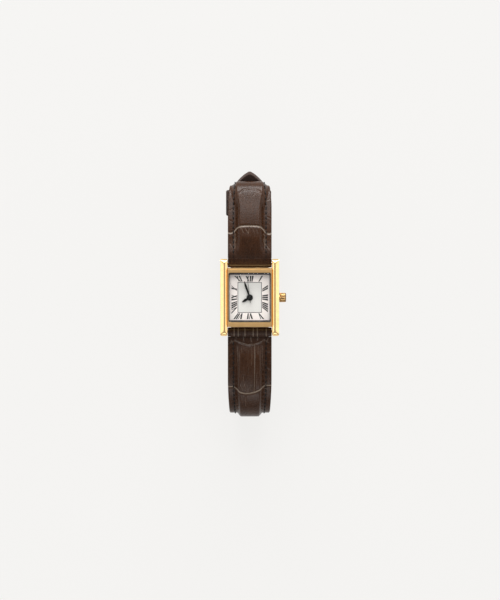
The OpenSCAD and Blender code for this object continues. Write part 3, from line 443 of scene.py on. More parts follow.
def gold_finish():
    """Polished gold plate with faint wear and hairlines."""
    s = Shader("gold_plate", (250, 214, 152), 0.16, 1.0)
    s.mottle(3, 3, 0.4, 0.75, 0.35, (242, 200, 132))
    s.roughen(1.2, 5, 0.1, 0.22)
    s.relief(s.noise((0.05, 1.5, 0.05), 2), 0.0006)
    return s.material


def bezel_finish():
    """Gold plate of the bezel, brushed along its bars; its redder tone is a painted warm reflection."""
    s = Shader("gold_plate_bezel", (252, 206, 142), 0.16, 1.0)
    s.mottle(2, 3, 0.4, 0.75, 0.4, (236, 182, 116))
    s.roughen((1.5, 0.2, 1.5), 2, 0.3, 0.34)
    s.relief(s.noise((1.5, 0.05, 0.5), 2), 0.0001)
    return s.material


def crown_painted_reflection_finish():
    """Gold plate of the crown, darker than the case's: the darkness is a painted reflection of the dark strap
    round it.
    """
    s = Shader("gold_plate_crown_painted_reflection", (150, 120, 80), 0.24, 1.0)
    s.mottle(0.8, 3, 0.4, 0.7, 0.5, (132, 102, 64))
    s.roughen(0.4, 4, 0.18, 0.32)
    return s.material


def steel_finish():
    """Ground steel of the movement and the spring bars."""
    s = Shader("steel", (200, 200, 202), 0.25, 1.0)
    s.mottle(1, 3, 0.4, 0.7, 0.5, (168, 168, 172))
    s.roughen((0.3, 1.5, 0.3), 4, 0.2, 0.36)
    s.relief(s.noise((0.06, 1.2, 0.06), 2), 0.001)
    return s.material


def brass_finish(name, colour, other):
    """Brass of the movement; arbors that come up through the dial are blackened."""
    s = Shader(name, colour, 0.28, 1.0)
    s.mottle(0.9, 3, 0.4, 0.7, 0.6, other)
    s.tint(s.remap(s.axis("Z"), BLACK_FROM * MM, BLACK_BY * MM), (24, 24, 23))
    s.roughen(0.3, 4, 0.22, 0.4)
    s.relief(s.noise((0.8, 0.05, 0.5), 2), 0.0012)
    return s.material


def crystal_finish():
    """Clear mineral glass with the faintest haze of fine wear."""
    s = Shader("crystal", (255, 255, 255), 0.01, IOR=1.14, Transmission_Weight=1.0)
    s.roughen(2, 4, 0.0, 0.03)
    return s.material


def gasket_finish(name, colour, rough):
    s = Shader(name, colour, rough)
    s.mottle(0.5, 4, 0.4, 0.7, 0.4, scaled(colour, 0.8))
    s.relief(s.noise(0.1, 4), 0.003)
    return s.material


def dial_finish():
    """Silvered dial with a fine brushing, a little greyer inside the printed rectangle."""
    s = Shader("dial_silver", (253, 244, 237), 0.42)
    half_w = 3.8 * MM
    half_l = 4.8 * MM
    edge = 0.12 * MM
    across = s.maths("ABSOLUTE", s.axis("X"), 0)
    up = s.maths("ABSOLUTE", s.axis("Y"), 0)
    inside = s.maths("MULTIPLY", s.remap(across, half_w, half_w - edge), s.remap(up, half_l, half_l - edge))
    s.tint(inside, (226, 224, 218))
    s.mottle((0.06, 3, 1), 3, 0.35, 0.75, 0.08, (226, 220, 212))
    s.roughen((0.05, 2, 1), 3, 0.36, 0.5)
    s.relief(s.noise((0.05, 2.5, 1), 2), 0.0015)
    return s.material


def ink_finish():
    s = Shader("print_black", (34, 32, 30), 0.4)
    s.mottle(0.2, 3, 0.4, 0.7, 0.5, (52, 48, 44))
    s.relief(s.noise(0.06, 3), 0.002)
    return s.material


def flange_finish():
    """Rehaut with a soft sheen, near black: the darkness is painted shade for the dark frame round the dial
    under the crystal's edge.
    """
    s = Shader("flange", (28, 24, 22), 0.42)
    s.mottle((1.5, 1.5, 0.4), 3, 0.35, 0.7, 0.5, (20, 17, 15))
    s.roughen((1, 1, 0.1), 4, 0.36, 0.5)
    s.relief(s.noise((2, 2, 0.05), 3), 0.0015)
    return s.material


def hand_finish(name, colour):
    s = Shader(name, colour, 0.22, 0.3)
    s.mottle(0.4, 3, 0.4, 0.7, 0.5, scaled(colour, 0.7))
    s.relief(s.noise(0.1, 3), 0.001)
    return s.material


def seconds_finish():
    """Slim grey blade on a black hub."""
    s = Shader("hand_grey", (84, 82, 78), 0.22, 0.3)
    x = s.maths("POWER", s.axis("X"), 2.0)
    y = s.maths("POWER", s.axis("Y"), 2.0)
    radius = s.maths("SQRT", s.maths("ADD", x, y), 0.0)
    hub = 1.0 * MM
    s.tint(s.remap(radius, hub, 0.95 * hub), (24, 24, 23))
    s.relief(s.noise(0.1, 3), 0.001)
    return s.material


def plastic_finish(name, colour, rough=0.5):
    """Moulded plastic of the movement's holder and the circuit board."""
    s = Shader(name, colour, rough)
    s.mottle(1.5, 3, 0.4, 0.7, 0.35, scaled(colour, 0.88))
    s.roughen(0.6, 4, rough - 0.08, rough + 0.1)
    s.relief(s.noise(0.15, 4), 0.004)
    return s.material


def coil_finish():
    """Lacquered copper wire wound side by side along the coil."""
    s = Shader("copper", (186, 104, 52), 0.3, 0.9)
    wave = s.node("TexWave", Scale=1.0)
    wave.bands_direction = "X"
    s.link(s.mapped(0.6), wave.inputs["Vector"])
    # Painted shade: the copper is darker down in the grooves between the windings
    s.tint(s.remap(wave.outputs["Fac"], 0, 1, 0.5, 0), (112, 56, 26))
    s.roughen(0.3, 3, 0.25, 0.4)
    s.relief(wave.outputs["Fac"], 0.02)
    return s.material


def embossed_leather():
    """Glazed dark brown leather; the mesh carries the embossing. Its creases are paler, partly in their own
    colour and partly as painted sheen, and it takes painted shade round the stitches, beside the folds and
    over them.
    """
    s = Shader("leather_embossed", (52, 29, 13), 0.26, IOR=1.28, Coat_Weight=0.04, Coat_Roughness=0.22)
    s.mottle((4, 6, 4), 3, 0.38, 0.68, 0.7, (62, 36, 18))
    s.mottle(0.7, 5, 0.5, 0.78, 0.6, (28, 16, 10))
    # Painted sheen: pale grey streaks along the strap
    s.mottle((0.22, 1.7, 0.6), 5, 0.6, 0.74, 0.3, (104, 86, 74))
    # Lighter brown streaks along the strap: partly the leather's own tone, partly painted glints on its
    # wrinkles
    s.mottle((0.45, 3.5, 1.5), 5, 0.5, 0.66, 0.32, (74, 48, 32))
    # Pale creases: partly the paler colour of the creased finish, partly painted sheen along them
    s.tint(s.remap(s.attribute("crease_pale_and_sheen"), 0.15, 1.0, 0, 0.85), (160, 144, 128))
    # Painted shade: dark round each stitch, at the strap's start beside the case and over the folds
    s.tint(s.remap(s.attribute("shade"), 0.1, 1.0, 0, 0.9), (20, 12, 9))
    s.roughen(0.5, 5, 0.2, 0.38)
    s.relief(s.cells(0.7), 0.015)
    s.relief(s.noise((1.6, 0.15, 0.5), 3), 0.03)
    s.relief(s.noise((0.8, 3.2, 1.4), 3), 0.04)
    s.relief(s.noise(0.15, 3), 0.004)
    return s.material


def plain_leather(name, colour, darker, rough=0.45):
    """Smooth calf leather of the loops, keepers and folds."""
    s = Shader(name, colour, rough, IOR=1.25)
    s.mottle(2.5, 4, 0.35, 0.7, 0.7, darker)
    s.roughen(0.6, 5, rough - 0.1, rough + 0.12)
    s.relief(s.cells(0.35), 0.03)
    s.relief(s.noise(0.1, 4), 0.012)
    return s.material


def lining_leather():
    """Matte lining leather with a fine suede grain."""
    s = Shader("lining_leather", (64, 45, 37), 0.78, IOR=1.38, Sheen_Weight=0.1)
    s.mottle(1.8, 5, 0.35, 0.7, 0.6, (48, 33, 27))
    s.mottle(0.12, 3, 0.5, 0.8, 0.4, (84, 62, 52))
    s.relief(s.noise(0.14, 5), 0.03)
    return s.material


def felt_finish():
    s = Shader("padding_felt", (128, 112, 98), 0.9)
    s.mottle(0.4, 5, 0.35, 0.7, 0.6, (96, 82, 70))
    s.relief(s.noise((0.08, 0.5, 0.08), 5), 0.05)
    return s.material


def thread_finish():
    """Waxed dark thread with its twist."""
    s = Shader("waxed_thread", (22, 15, 12), 0.6, IOR=1.35)
    s.mottle(0.3, 3, 0.4, 0.7, 0.5, (38, 28, 22))
    s.relief(s.noise((0.25, 0.06, 0.06), 3, turn=0.7), 0.02)
    return s.material


def paint_nodes():
    """Gives each solid that stays on show its finish."""
    gold = gold_finish()
    steel = steel_finish()
    wheel = brass_finish("wheel_brass", (226, 190, 110), (196, 156, 82))
    plate = brass_finish("movement_brass", (206, 196, 172), (184, 172, 146))
    battery = steel_finish()
    battery.name = "battery_steel"
    finishes = {
        "case_back": gold, "crown_tube": gold, "buckle_tongue": gold, "crystal": crystal_finish(),
        # The clear gasket is painted near black: painted shade for the dark frame round the dial
        "crystal_gasket": gasket_finish("clear_gasket", (40, 36, 33), 0.5),
        "case_back_gasket": gasket_finish("black_rubber", (32, 32, 32), 0.6),
        "crown_gasket": gasket_finish("black_rubber_crown", (30, 30, 30), 0.6),
        "dial": dial_finish(), "dial_print": ink_finish(), "dial_flange": flange_finish(),
        "movement_holder": plastic_finish("holder_plastic", (232, 230, 224)),
        "circuit_board": plastic_finish("board", (40, 88, 54), 0.4),
        "coil": coil_finish(), "stator": steel, "rotor": steel, "stem": steel,
        "sliding_pinion": steel, "setting_lever": steel, "buckle_bar": steel,
        "main_plate": plate, "train_bridge": plate, "battery_clamp": wheel,
        "quartz_can": battery, "battery": battery,
        "hour_hand": hand_finish("hand_black", (24, 24, 23)),
        "minute_hand": hand_finish("hand_black_minute", (26, 26, 25)),
        "seconds_hand": seconds_finish(),
    }
    for name in NODES:
        if name.endswith("_wheel"):
            finishes[name] = wheel
        elif name.startswith(("spring_bar", "bar_spring", "bar_tip")):
            finishes[name] = steel
    for name, material in finishes.items():
        for place in NODES[name].material_slots:
            place.material = material
    NODES["crystal"].visible_shadow = False
    NODES["crystal"].visible_diffuse = False


def new_object(name, data):
    """Puts a mesh, lamp or camera into the scene."""
    made = bpy.data.objects.new(name, data)
    bpy.context.scene.collection.objects.link(made)
    return made


def new_piece(name, vertices, faces, materials, body, replaced):
    """A mesh in metres that rides on a body and stands for the named solids."""
    mesh = bpy.data.meshes.new(name)
    mesh.from_pydata([tuple(v) for v in vertices], [], [tuple(int(i) for i in f) for f in faces])
    mesh.update()
    piece = new_object(name, mesh)
    for material in materials:
        mesh.materials.append(material)
    for polygon in mesh.polygons:
        polygon.use_smooth = True
    mesh.set_sharp_from_angle(angle=SHARP_EDGE)
    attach(piece, body)
    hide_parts(*replaced)
    return piece


def tube_faces(rings, size):
    """Quads between closed rings of points, and a flat face on each end."""
    faces = []
    for i in range(rings - 1):
        a, b = i * size, (i + 1) * size
        for k in range(size):
            j = (k + 1) % size
            faces.append((a + k, a + j, b + j, b + k))
    faces.append(tuple(range(size - 1, -1, -1)))
    faces.append(tuple((rings - 1) * size + k for k in range(size)))
    return faces


def add_values(piece, name, values):
    """A number on each vertex that a material can read."""
    attribute = piece.data.attributes.new(name, "FLOAT", "POINT")
    attribute.data.foreach_set("value", np.asarray(values, np.float32).ravel())


def distance_to(points, line):
    """Distance from each point to a broken line, both in millimetres."""
    best = np.full(points.shape[:-1], 1e9)
    line = np.array(line, float)
    for a, b in zip(line[:-1], line[1:]):
        d = b - a
        t = np.clip(((points - a) @ d) / max(d @ d, 1e-9), 0, 1)
        best = np.minimum(best, np.linalg.norm(points - a - t[..., None] * d, axis=-1))
    return best


# Creases of the embossing as seen from above: width, depth, paleness (partly painted sheen along them), then
# points as (across, distance from the dial centre), in millimetres
TOP_CREASES = [
    (0.24, 0.28, 1.0, [(-6.9, 20.6), (-5.9, 20.5), (-5.0, 20.9), (-4.1, 21.9), (-2.6, 22.4), (0, 22.5),
                       (2.4, 22.4), (3.6, 22.1), (4.4, 21.5), (5.0, 20.7), (5.8, 20.3), (6.9, 20.4)]),
    (0.24, 0.14, 0.2, [(-4.1, 31.2), (-3.5, 32.6), (-1.9, 33.9), (0, 34.1), (1.8, 33.9), (3.2, 33.3),
                       (4.0, 31.8)]),
    (0.28, 0.1, 0.15, [(-4.1, 31.2), (-4.2, 27.5), (-4.3, 23.2)]),
    (0.28, 0.1, 0.12, [(4.0, 31.8), (4.1, 27.5), (4.2, 23.2)]),
    (0.24, 0.12, 0.4, [(-4.6, 20.4), (-4.7, 18.5), (-4.6, 15.8)]),
    (0.24, 0.12, 0.4, [(4.7, 19.2), (4.8, 17.5), (4.7, 15.8)]),
    (0.12, 0.08, 0.5, [(-2.6, 21.9), (-2.0, 20.4)]),
    (0.1, 0.06, 0.6, [(-5.3, 19.8), (-4.9, 18.7), (-5.4, 17.6)]),
    (0.1, 0.06, 0.5, [(-4.3, 19.2), (-4.4, 17.9)]),
    (0.1, 0.06, 0.6, [(-6.3, 17.2), (-5.6, 16.1), (-4.9, 15.4)]),
    (0.1, 0.06, 0.6, [(4.4, 20.2), (5.2, 18.9), (5.0, 17.8)]),
    (0.1, 0.06, 0.5, [(4.3, 18.6), (4.5, 17.2)]),
    (0.1, 0.06, 0.7, [(4.8, 16.9), (5.6, 16.0), (6.3, 15.2)]),
    (0.12, 0.08, 0.45, [(-1.4, 21.9), (-0.4, 20.1), (-0.2, 21.8)]),
    (0.12, 0.08, 0.4, [(0.9, 21.8), (1.4, 20.5)]),
    (0.12, 0.08, 0.35, [(2.2, 21.6), (2.6, 20.4)]),
    (0.12, 0.06, 0.3, [(-2.4, 32.6), (-1.6, 31.3)]),
    (0.12, 0.06, 0.3, [(0.6, 31.5), (1.8, 32.6)]),
    (0.16, 0.1, 0.35, [(-6.8, 27.6), (-5.6, 28.2)]),
    (0.16, 0.1, 0.35, [(5.5, 31.4), (6.8, 31.6)]),
    (0.14, 0.08, 0.3, [(-6.6, 24.6), (-5.4, 24.2)]),
    (0.14, 0.08, 0.3, [(5.4, 25.8), (6.7, 25.2)]),
]
LOW_CREASES = [
    (0.24, 0.28, 1.0, [(-6.9, 28.8), (-5.2, 28.8), (-4.2, 29.3), (-2.8, 29.9), (-1.4, 30.2), (0.2, 30.1),
                       (1.8, 29.7), (3.2, 29.1), (4.4, 28.6), (5.4, 28.4), (6.9, 28.4)]),
    (0.2, 0.2, 0.5, [(1.55, 14.8), (1.6, 18.0), (1.55, 22.0), (1.5, 26.0), (1.35, 29.8)]),
    (0.22, 0.2, 0.35, [(-6.2, 14.4), (-4.6, 13.6), (-2.6, 14.3), (-0.4, 14.9), (1.6, 14.7), (3.4, 14.0),
                       (4.6, 13.4), (5.9, 14.2)]),
    (0.16, 0.14, 0.5, [(-4.4, 11.4), (-4.2, 12.8)]),
    (0.16, 0.14, 0.5, [(-2.0, 11.4), (-1.9, 13.6)]),
    (0.16, 0.14, 0.5, [(0.3, 11.6), (0.5, 13.9)]),
    (0.16, 0.14, 0.5, [(2.6, 11.6), (2.4, 13.6)]),
    (0.16, 0.12, 0.5, [(-5.9, 13.4), (-5.3, 14.6)]),
    (0.16, 0.12, 0.5, [(5.8, 12.9), (5.2, 14.3)]),
    (0.16, 0.12, 0.4, [(-1.3, 31.2), (-1.25, 33.8)]),
    (0.12, 0.08, 0.4, [(-3.4, 28.9), (-2.9, 27.4), (-2.3, 29.3), (-1.6, 27.2), (-1.0, 29.8)]),
    (0.12, 0.08, 0.35, [(0.2, 29.3), (0.6, 27.6)]),
    (0.12, 0.08, 0.3, [(-3.2, 17.0), (-3.1, 21.0), (-3.3, 25.0)]),
    (0.12, 0.08, 0.3, [(-0.4, 16.5), (-0.6, 20.0), (-0.3, 24.0)]),
    (0.12, 0.08, 0.3, [(3.2, 16.0), (3.3, 21.0), (3.1, 25.5)]),
    (0.1, 0.06, 0.45, [(-3.9, 15.6), (-3.7, 18.4), (-4.0, 21.6)]),
    (0.1, 0.06, 0.4, [(-2.6, 15.4), (-2.5, 17.2)]),
    (0.1, 0.06, 0.4, [(0.6, 15.6), (0.7, 18.8), (0.5, 21.4)]),
    (0.1, 0.06, 0.45, [(2.7, 15.2), (2.6, 17.9)]),
    (0.1, 0.06, 0.45, [(4.1, 15.4), (4.0, 18.9), (4.2, 22.6)]),
    (0.1, 0.06, 0.4, [(-2.0, 24.4), (-1.8, 27.8)]),
    (0.1, 0.06, 0.4, [(2.3, 23.4), (2.2, 27.2)]),
    (0.14, 0.1, 0.3, [(-6.6, 18.6), (-5.4, 18.2)]),
    (0.14, 0.1, 0.3, [(-6.6, 23.2), (-5.3, 22.6)]),
    (0.14, 0.1, 0.3, [(5.4, 17.4), (6.7, 17.8)]),
    (0.14, 0.1, 0.3, [(5.4, 22.8), (6.7, 23.4)]),
]

# Creases across the six o'clock fold: distances from the middle line, in millimetres
LOW_FOLD_CREASES = (-4.9, -3.6, -1.5, 1.1, 2.4, 5.2)


def crease_fields(path, s, across, creases, crown_out):
    """Depth and paleness of the embossed creases at each point of the strap's outer surface."""
    pale_share = 0.9
    depth = np.zeros(np.broadcast(s, across).shape)
    pale = np.zeros_like(depth)
    points = np.stack(np.broadcast_arrays(across, s), axis=-1)
    for width, deep, paleness, line in creases:
        on_strap = [(x, path.length_at_reach(reach, crown_out)) for x, reach in line]
        d = distance_to(points, on_strap)
        depth = np.maximum(depth, deep * groove(d, width))
        pale = np.maximum(pale, paleness * groove(d, pale_share * width))
    return depth, pale


def hidden_creases(path, first):
    """Plain scales for the stretch that the photograph doesn't show: bowed bands with a line across each."""
    pitch = 7.5
    end_margin = 2
    bow = 0.6
    bow_width = 6
    lines = []
    s = first
    even = True
    while s < path.end - end_margin:
        way = -bow if even else bow
        left, right = (-1.4, -1.2) if even else (1.4, 1.4)
        lines.append([(x, s + way * (x / bow_width) ** 2) for x in (-7, -4, -2, 0, 2, 4, 7)])
        lines.append([(left, s + 0.6), (right, s + pitch - 0.8)])
        s += pitch
        even = not even
    return lines


def embossing(path, s, across, row, creases, hidden_from):
    """Depth and paleness of all the creases, which are flattened along the rows of stitches."""
    crown_out = STRAP_T + PAD_H * 0.8
    plain_depth, plain_width = 0.16, 0.28
    plain_pale, plain_pale_width = 0.35, 0.25
    flattened, flat_width = 0.8, 0.3
    pulled_in, pull_width = 0.06, 0.35
    depth, pale = crease_fields(path, s, across, creases, crown_out)
    points = np.stack(np.broadcast_arrays(across, s), axis=-1)
    for line in hidden_creases(path, hidden_from):
        d = distance_to(points, line)
        depth = np.maximum(depth, plain_depth * groove(d, plain_width))
        pale = np.maximum(pale, plain_pale * groove(d, plain_pale_width))
    depth = depth * (1 - flattened * groove(row, flat_width)) + pulled_in * groove(row, pull_width)
    return depth, pale


def painted_shade_field(s, row):
    """Painted shade: dark in the hollow round each stitch, and a dark start beside the fold."""
    hollow_width = 0.26
    hollow_length = 0.6 * STITCH_L
    head_shade, head_length = 0.5, 5
    beat = (s - STITCH_FROM) / STITCH_PITCH
    beat = np.abs(beat - np.round(beat)) * STITCH_PITCH / hollow_length
    hollow = groove(row, hollow_width) * np.exp(-beat ** 6)
    return np.maximum(hollow, head_shade * (1 - smooth(s / head_length)))


def outer_leather(name, path, creases, node, material, hidden_from):
    """Embossed leather over the padding, as a closed skin with rolled edges."""
    step = 0.2
    top_points = 101
    low_points = 13
    roll = 0.96
    lengths = np.linspace(0, path.end, int(path.end / step))
    s = lengths[:, None]
    width = path.width(s)
    across = np.linspace(-0.5, 0.5, top_points)[None, :] * width
    edge = np.clip((np.abs(across) - (width / 2 - EDGE_ROUND)) / EDGE_ROUND, 0, 1)
    rolled = EDGE_ROUND * (1 - np.sqrt(1 - edge ** 2 * roll))
    top = STRAP_T + head_rise(s) + path.crown(s, across) - rolled
    row = np.abs(np.abs(across) - (width / 2 - STITCH_SIDE))
    depth, pale = embossing(path, s, across, row, creases, hidden_from)
    top = top - depth * (1 - edge)
    low_across = np.linspace(0.5, -0.5, low_points)[None, :] * width
    low = LINING_T + LAYER_GAP + path.crown(s, low_across)
    ring = np.concatenate([path.place(s, across, top), path.place(s, low_across, low)], axis=1)
    faces = tube_faces(len(lengths), top_points + low_points)
    piece = new_piece(name, ring.reshape(-1, 3), faces, [material], "watch", [node])
    blank = np.zeros((len(lengths), low_points))
    # Paleness of the creases, partly painted sheen, and painted shade, for the material to read
    add_values(piece, "crease_pale_and_sheen", np.concatenate([pale, blank], axis=1))
    add_values(piece, "shade", np.concatenate([painted_shade_field(s, row), blank], axis=1))
    turned_outward(piece)


def turned_outward(piece):
    """Makes every face look outwards."""
    build = bmesh.new()
    build.from_mesh(piece.data)
    bmesh.ops.recalc_face_normals(build, faces=build.faces)
    build.to_mesh(piece.data)
    build.free()


def swept(name, path, lengths, section, material, node):
    """A closed skin over one cross-section, given as (across, out) pairs for each length."""
    rings = []
    for length in lengths:
        shape = np.array(section(length))
        rings.append(path.place(length, shape[:, 0], shape[:, 1]))
    faces = tube_faces(len(rings), len(rings[0]))
    piece = new_piece(name, np.concatenate(rings), faces, [material], "watch", [node])
    turned_outward(piece)
    return piece


def lining(name, path, node, material):
    """Flat lining with softly rounded edges."""
    corner = 0.18
    ease, inner_ease, outer_ease = 0.1, 0.05, 0.02

    def section(s):
        half = path.width(s) / 2
        flat = half - corner
        inner = [(x, 0.0) for x in np.linspace(flat, -flat, 25)]
        outer = [(x, LINING_T) for x in np.linspace(-flat, flat, 9)]
        right = [(half - outer_ease, LINING_T - ease), (half, LINING_T / 2), (half - inner_ease, ease)]
        left = [(-x, z) for x, z in reversed(right)]
        return right + inner + left + outer
    lengths = np.linspace(0, path.end, int(path.end / SWEEP_STEP))
    swept(name, path, lengths, section, material, node)


def padding(name, path, node, material):
    """Felt core under the crown, tight under its leather."""
    least_height = 0.5
    foot_share = 0.82
    lengths = np.linspace(0, path.end, int(path.end / SWEEP_STEP))
    lengths = [s for s in lengths if path.pad(s) > least_height]

    def section(s):
        foot = path.foot(s) * foot_share
        low = LINING_T + LAYER_GAP
        x = np.linspace(-foot, foot, 17)
        top = low + path.crown(s, x) - 2 * LAYER_GAP
        return [(foot, low), (-foot, low)] + list(zip(x, top))
    piece = swept(name, path, lengths, section, material, node)


def stitching(name, path, past, node, material):
    """Two rows of single stitches, each a bowed thread that dips into its holes."""
    rings, sides = 7, 6
    foot_depth, bow, thinner = 0.02, 0.16, 0.35
    vertices, faces = [], []
    lengths = np.arange(STITCH_FROM, path.bend_s + past, STITCH_PITCH)
    for s in lengths:
        for side in (-1, 1):
            centre_x = side * (path.width(s) / 2 - STITCH_SIDE)
            base = STRAP_T + head_rise(s) + path.crown(s, centre_x)
            first = len(vertices)
            for i in range(rings):
                t = i / (rings - 1) * 2 - 1
                out = base - foot_depth + bow * (1 - t ** 4)
                radius = STITCH_R * (1 - thinner * t ** 4)
                for k in range(sides):
                    a = 2 * pi * k / sides
                    x = centre_x + radius * cos(a)
                    vertices.append(path.place(s + t * STITCH_L / 2, x, out + radius * sin(a)))
            faces += [tuple(first + v for v in f) for f in tube_faces(rings, sides)]
    piece = new_piece(name, vertices, faces, [material], "watch", [node])
    turned_outward(piece)


def reshaped(source):
    """Vertices and faces as an object's modifiers leave them; the object itself is removed."""
    shaped = source.evaluated_get(bpy.context.evaluated_depsgraph_get()).to_mesh()
    vertices = [v.co.copy() for v in shaped.vertices]
    faces = [tuple(p.vertices) for p in shaped.polygons]
    source.to_mesh_clear()
    bpy.data.objects.remove(source)
    return vertices, faces


def softened(name, node, body, materials, voxel=0.12):
    """Leather of a solid's own shape, with its edges worn round."""
    source = new_object(name + "_source", NODES[node].data.copy())
    remesh = source.modifiers.new("remesh", "REMESH")
    remesh.mode = "VOXEL"
    remesh.voxel_size = voxel * MM
    relax = source.modifiers.new("relax", "SMOOTH")
    relax.factor = 0.5
    relax.iterations = 6
    vertices, faces = reshaped(source)
    return new_piece(name, vertices, faces, materials, body, [node])


def fold_outline(out, up):
    """Radius of the fold in each direction: round behind the bar, flat where it runs into the strap."""
    tiny, far = 1e-6, 1e9
    slope = (FOLD_R + HEAD_RISE - FOLD_HEAD) / FOLD_REACH
    reach = FOLD_REACH / np.maximum(out, tiny)
    rise = up + slope * out
    roof = np.where(rise > tiny, FOLD_R / np.maximum(rise, tiny), far)
    sole = np.where(up < 0, FOLD_R / np.maximum(-up, tiny), far)
    return np.where(out > 0, np.minimum(reach, np.minimum(roof, sole)), FOLD_R)


def fold(name, side, creases, node, material):
    """Leather folded round a spring bar, thick enough to run on into the strap."""
    size = 96
    # The creases' paleness is a painted highlight along their ridges
    crease_width, crease_depth, crease_pale = 0.16, 0.07, 0.9
    # Painted shade over the whole fold, which lies in the dark beside the case
    shade = 0.45
    angles = np.linspace(0, 2 * pi, size, endpoint=False)
    out = np.cos(angles)
    up = np.sin(angles)
    radius = fold_outline(out, up)
    # The creases fade out below the middle of the fold
    upper = smooth((up + 0.2) / 0.6)
    half = HEAD_W / 2
    x = spread(half, 121)
    corner = np.clip((np.abs(x) - half + EDGE_ROUND) / EDGE_ROUND, 0, 1)
    inset = EDGE_ROUND / 2 * (1 - np.sqrt(1 - corner ** 2))

    def ring(place, r):
        return np.stack([np.full(size, place), side * (LUG_Y + r * out), LUG_Z + r * up], axis=-1)
    rings, pale = [], []
    for place, drawn_in in zip(x, inset):
        lines = max([groove(place - c, crease_width) for c in creases], default=0)
        rings.append(ring(place, radius - drawn_in - crease_depth * lines * upper))
        pale.append(crease_pale * lines * upper)
    bore = [ring(place, BORE_R) for place in x]
    outer_count = len(x) * size
    faces = []
    for a in range(0, outer_count - size, size):
        b, c, d = a + size, a + outer_count, a + size + outer_count
        for k in range(size):
            j = (k + 1) % size
            faces.append((a + k, a + j, b + j, b + k))
            faces.append((c + k, d + k, d + j, c + j))
    for a in (0, outer_count - size):
        c = a + outer_count
        for k in range(size):
            j = (k + 1) % size
            faces.append((a + k, c + k, c + j, a + j))
    points = np.concatenate(rings + bore) * MM
    piece = new_piece(name, points, faces, [material], "watch", [node])
    add_values(piece, "crease_pale_and_sheen", np.concatenate(pale + [np.zeros(outer_count)]))
    add_values(piece, "shade", np.full(len(points), shade))
    turned_outward(piece)


def strap():
    """Every leather piece of the strap, each in the place of its solid."""
    embossed = embossed_leather()
    calf = plain_leather("leather_calf", (48, 31, 22), (34, 21, 15))
    tail_leather = plain_leather("leather_tail", (52, 35, 26), (38, 24, 18), 0.4)
    inner = lining_leather()
    felt = felt_finish()
    thread = thread_finish()
    top_hidden_from = SHORT.bend_s + 6
    low_hidden_from = LONG.bend_s + 4
    outer_leather("strap_top_leather", SHORT, TOP_CREASES, "strap_top_outer", embossed, top_hidden_from)
    outer_leather("strap_bottom_leather", LONG, LOW_CREASES, "strap_bottom_outer", embossed, low_hidden_from)
    lining("strap_top_inside", SHORT, "strap_top_lining", inner)
    lining("strap_bottom_inside", LONG, "strap_bottom_lining", inner)
    padding("strap_top_felt", SHORT, "strap_top_padding", felt)
    padding("strap_bottom_felt", LONG, "strap_bottom_padding", felt)
    stitching("strap_top_thread", SHORT, TOP_STITCH_PAST, "strap_top_stitching", thread)
    stitching("strap_bottom_thread", LONG, LOW_STITCH_PAST, "strap_bottom_stitching", thread)
    fold("strap_top_fold", 1, (), "strap_top_bar_loop", embossed)
    fold("strap_bottom_fold", -1, LOW_FOLD_CREASES, "strap_bottom_bar_loop", embossed)
    softened("strap_buckle_fold", "strap_buckle_loop", "watch", [calf])
    softened("strap_keeper_fixed", "fixed_keeper", "watch", [calf])
    softened("strap_keeper_free", "free_keeper", "free_keeper", [calf])
    tail = softened("strap_tail_leather", "strap_tail", "watch", [tail_leather, inner], voxel=0.16)
    facing_wrist = 0.3
    for polygon in tail.data.polygons:
        if polygon.normal.z > facing_wrist:
            polygon.material_index = 1


def eased(name, node, body, material, width):
    """The solid's own shape with every sharp edge eased by a small round, as polished metal has."""
    same_place = 1e-7
    flat_angle = radians(0.5)
    sharp_angle = radians(30)
    source = new_object(name + "_source", NODES[node].data.copy())
    build = bmesh.new()
    build.from_mesh(source.data)
    bmesh.ops.remove_doubles(build, verts=build.verts, dist=same_place)
    bmesh.ops.dissolve_limit(build, angle_limit=flat_angle, verts=build.verts, edges=build.edges)
    build.to_mesh(source.data)
    build.free()
    bevel = source.modifiers.new("ease", "BEVEL")
    bevel.limit_method = "ANGLE"
    bevel.angle_limit = sharp_angle
    bevel.width = width * MM
    bevel.segments = 3
    bevel.use_clamp_overlap = True
    vertices, faces = reshaped(source)
    piece = new_piece(name, vertices, faces, [material], body, [node])
    weigh = piece.modifiers.new("weigh", "WEIGHTED_NORMAL")
    weigh.keep_sharp = False
    weigh.weight = 100


def soft_min(a, b, reach):
    """The smaller of two heights, blended where they are close."""
    near = np.maximum(reach - np.abs(a - b), 0) / reach
    return np.minimum(a, b) - near ** 2 * reach / 4


def side_bar(side):
    """One side bar of the case: a crest with a faint ridge that runs down over both ends."""
    ridge_blend = 0.08
    end_lift, end_blend = 0.2, 0.3
    foot_ease = 0.05
    half_l = BAR_L / 2
    rings = []
    for y in spread(half_l, 161):
        past = max(abs(y) - half_l + BAR_END_R, 0)
        drop = BAR_END_R - sqrt(BAR_END_R ** 2 - past ** 2)
        past = max(abs(y) - half_l + BAR_CORNER_R, 0)
        half = BAR_W / 2 - BAR_CORNER_R + sqrt(BAR_CORNER_R ** 2 - past ** 2)
        x = spread(half, 41)
        crest = BAR_H - CREST_R + np.sqrt(CREST_R ** 2 - x ** 2)
        facet = BAR_H + CREST_RIDGE - CREST_EDGE * np.abs(x - side * CREST_SHIFT)
        crest = soft_min(crest, facet, ridge_blend)
        top = soft_min(crest, BAR_H - drop + end_lift, end_blend)
        low = BAR_LIFT + drop
        shoulder = (top[0] + low) / 2
        foot = half - foot_ease
        x = np.concatenate([x, [half, foot, -foot, -half]])
        z = np.concatenate([top, [shoulder, low, low, shoulder]])
        rings.append(np.stack([side * BAR_X + x, np.full(len(x), y), z], axis=-1))
    return np.concatenate(rings) * MM, tube_faces(len(rings), len(rings[0]))


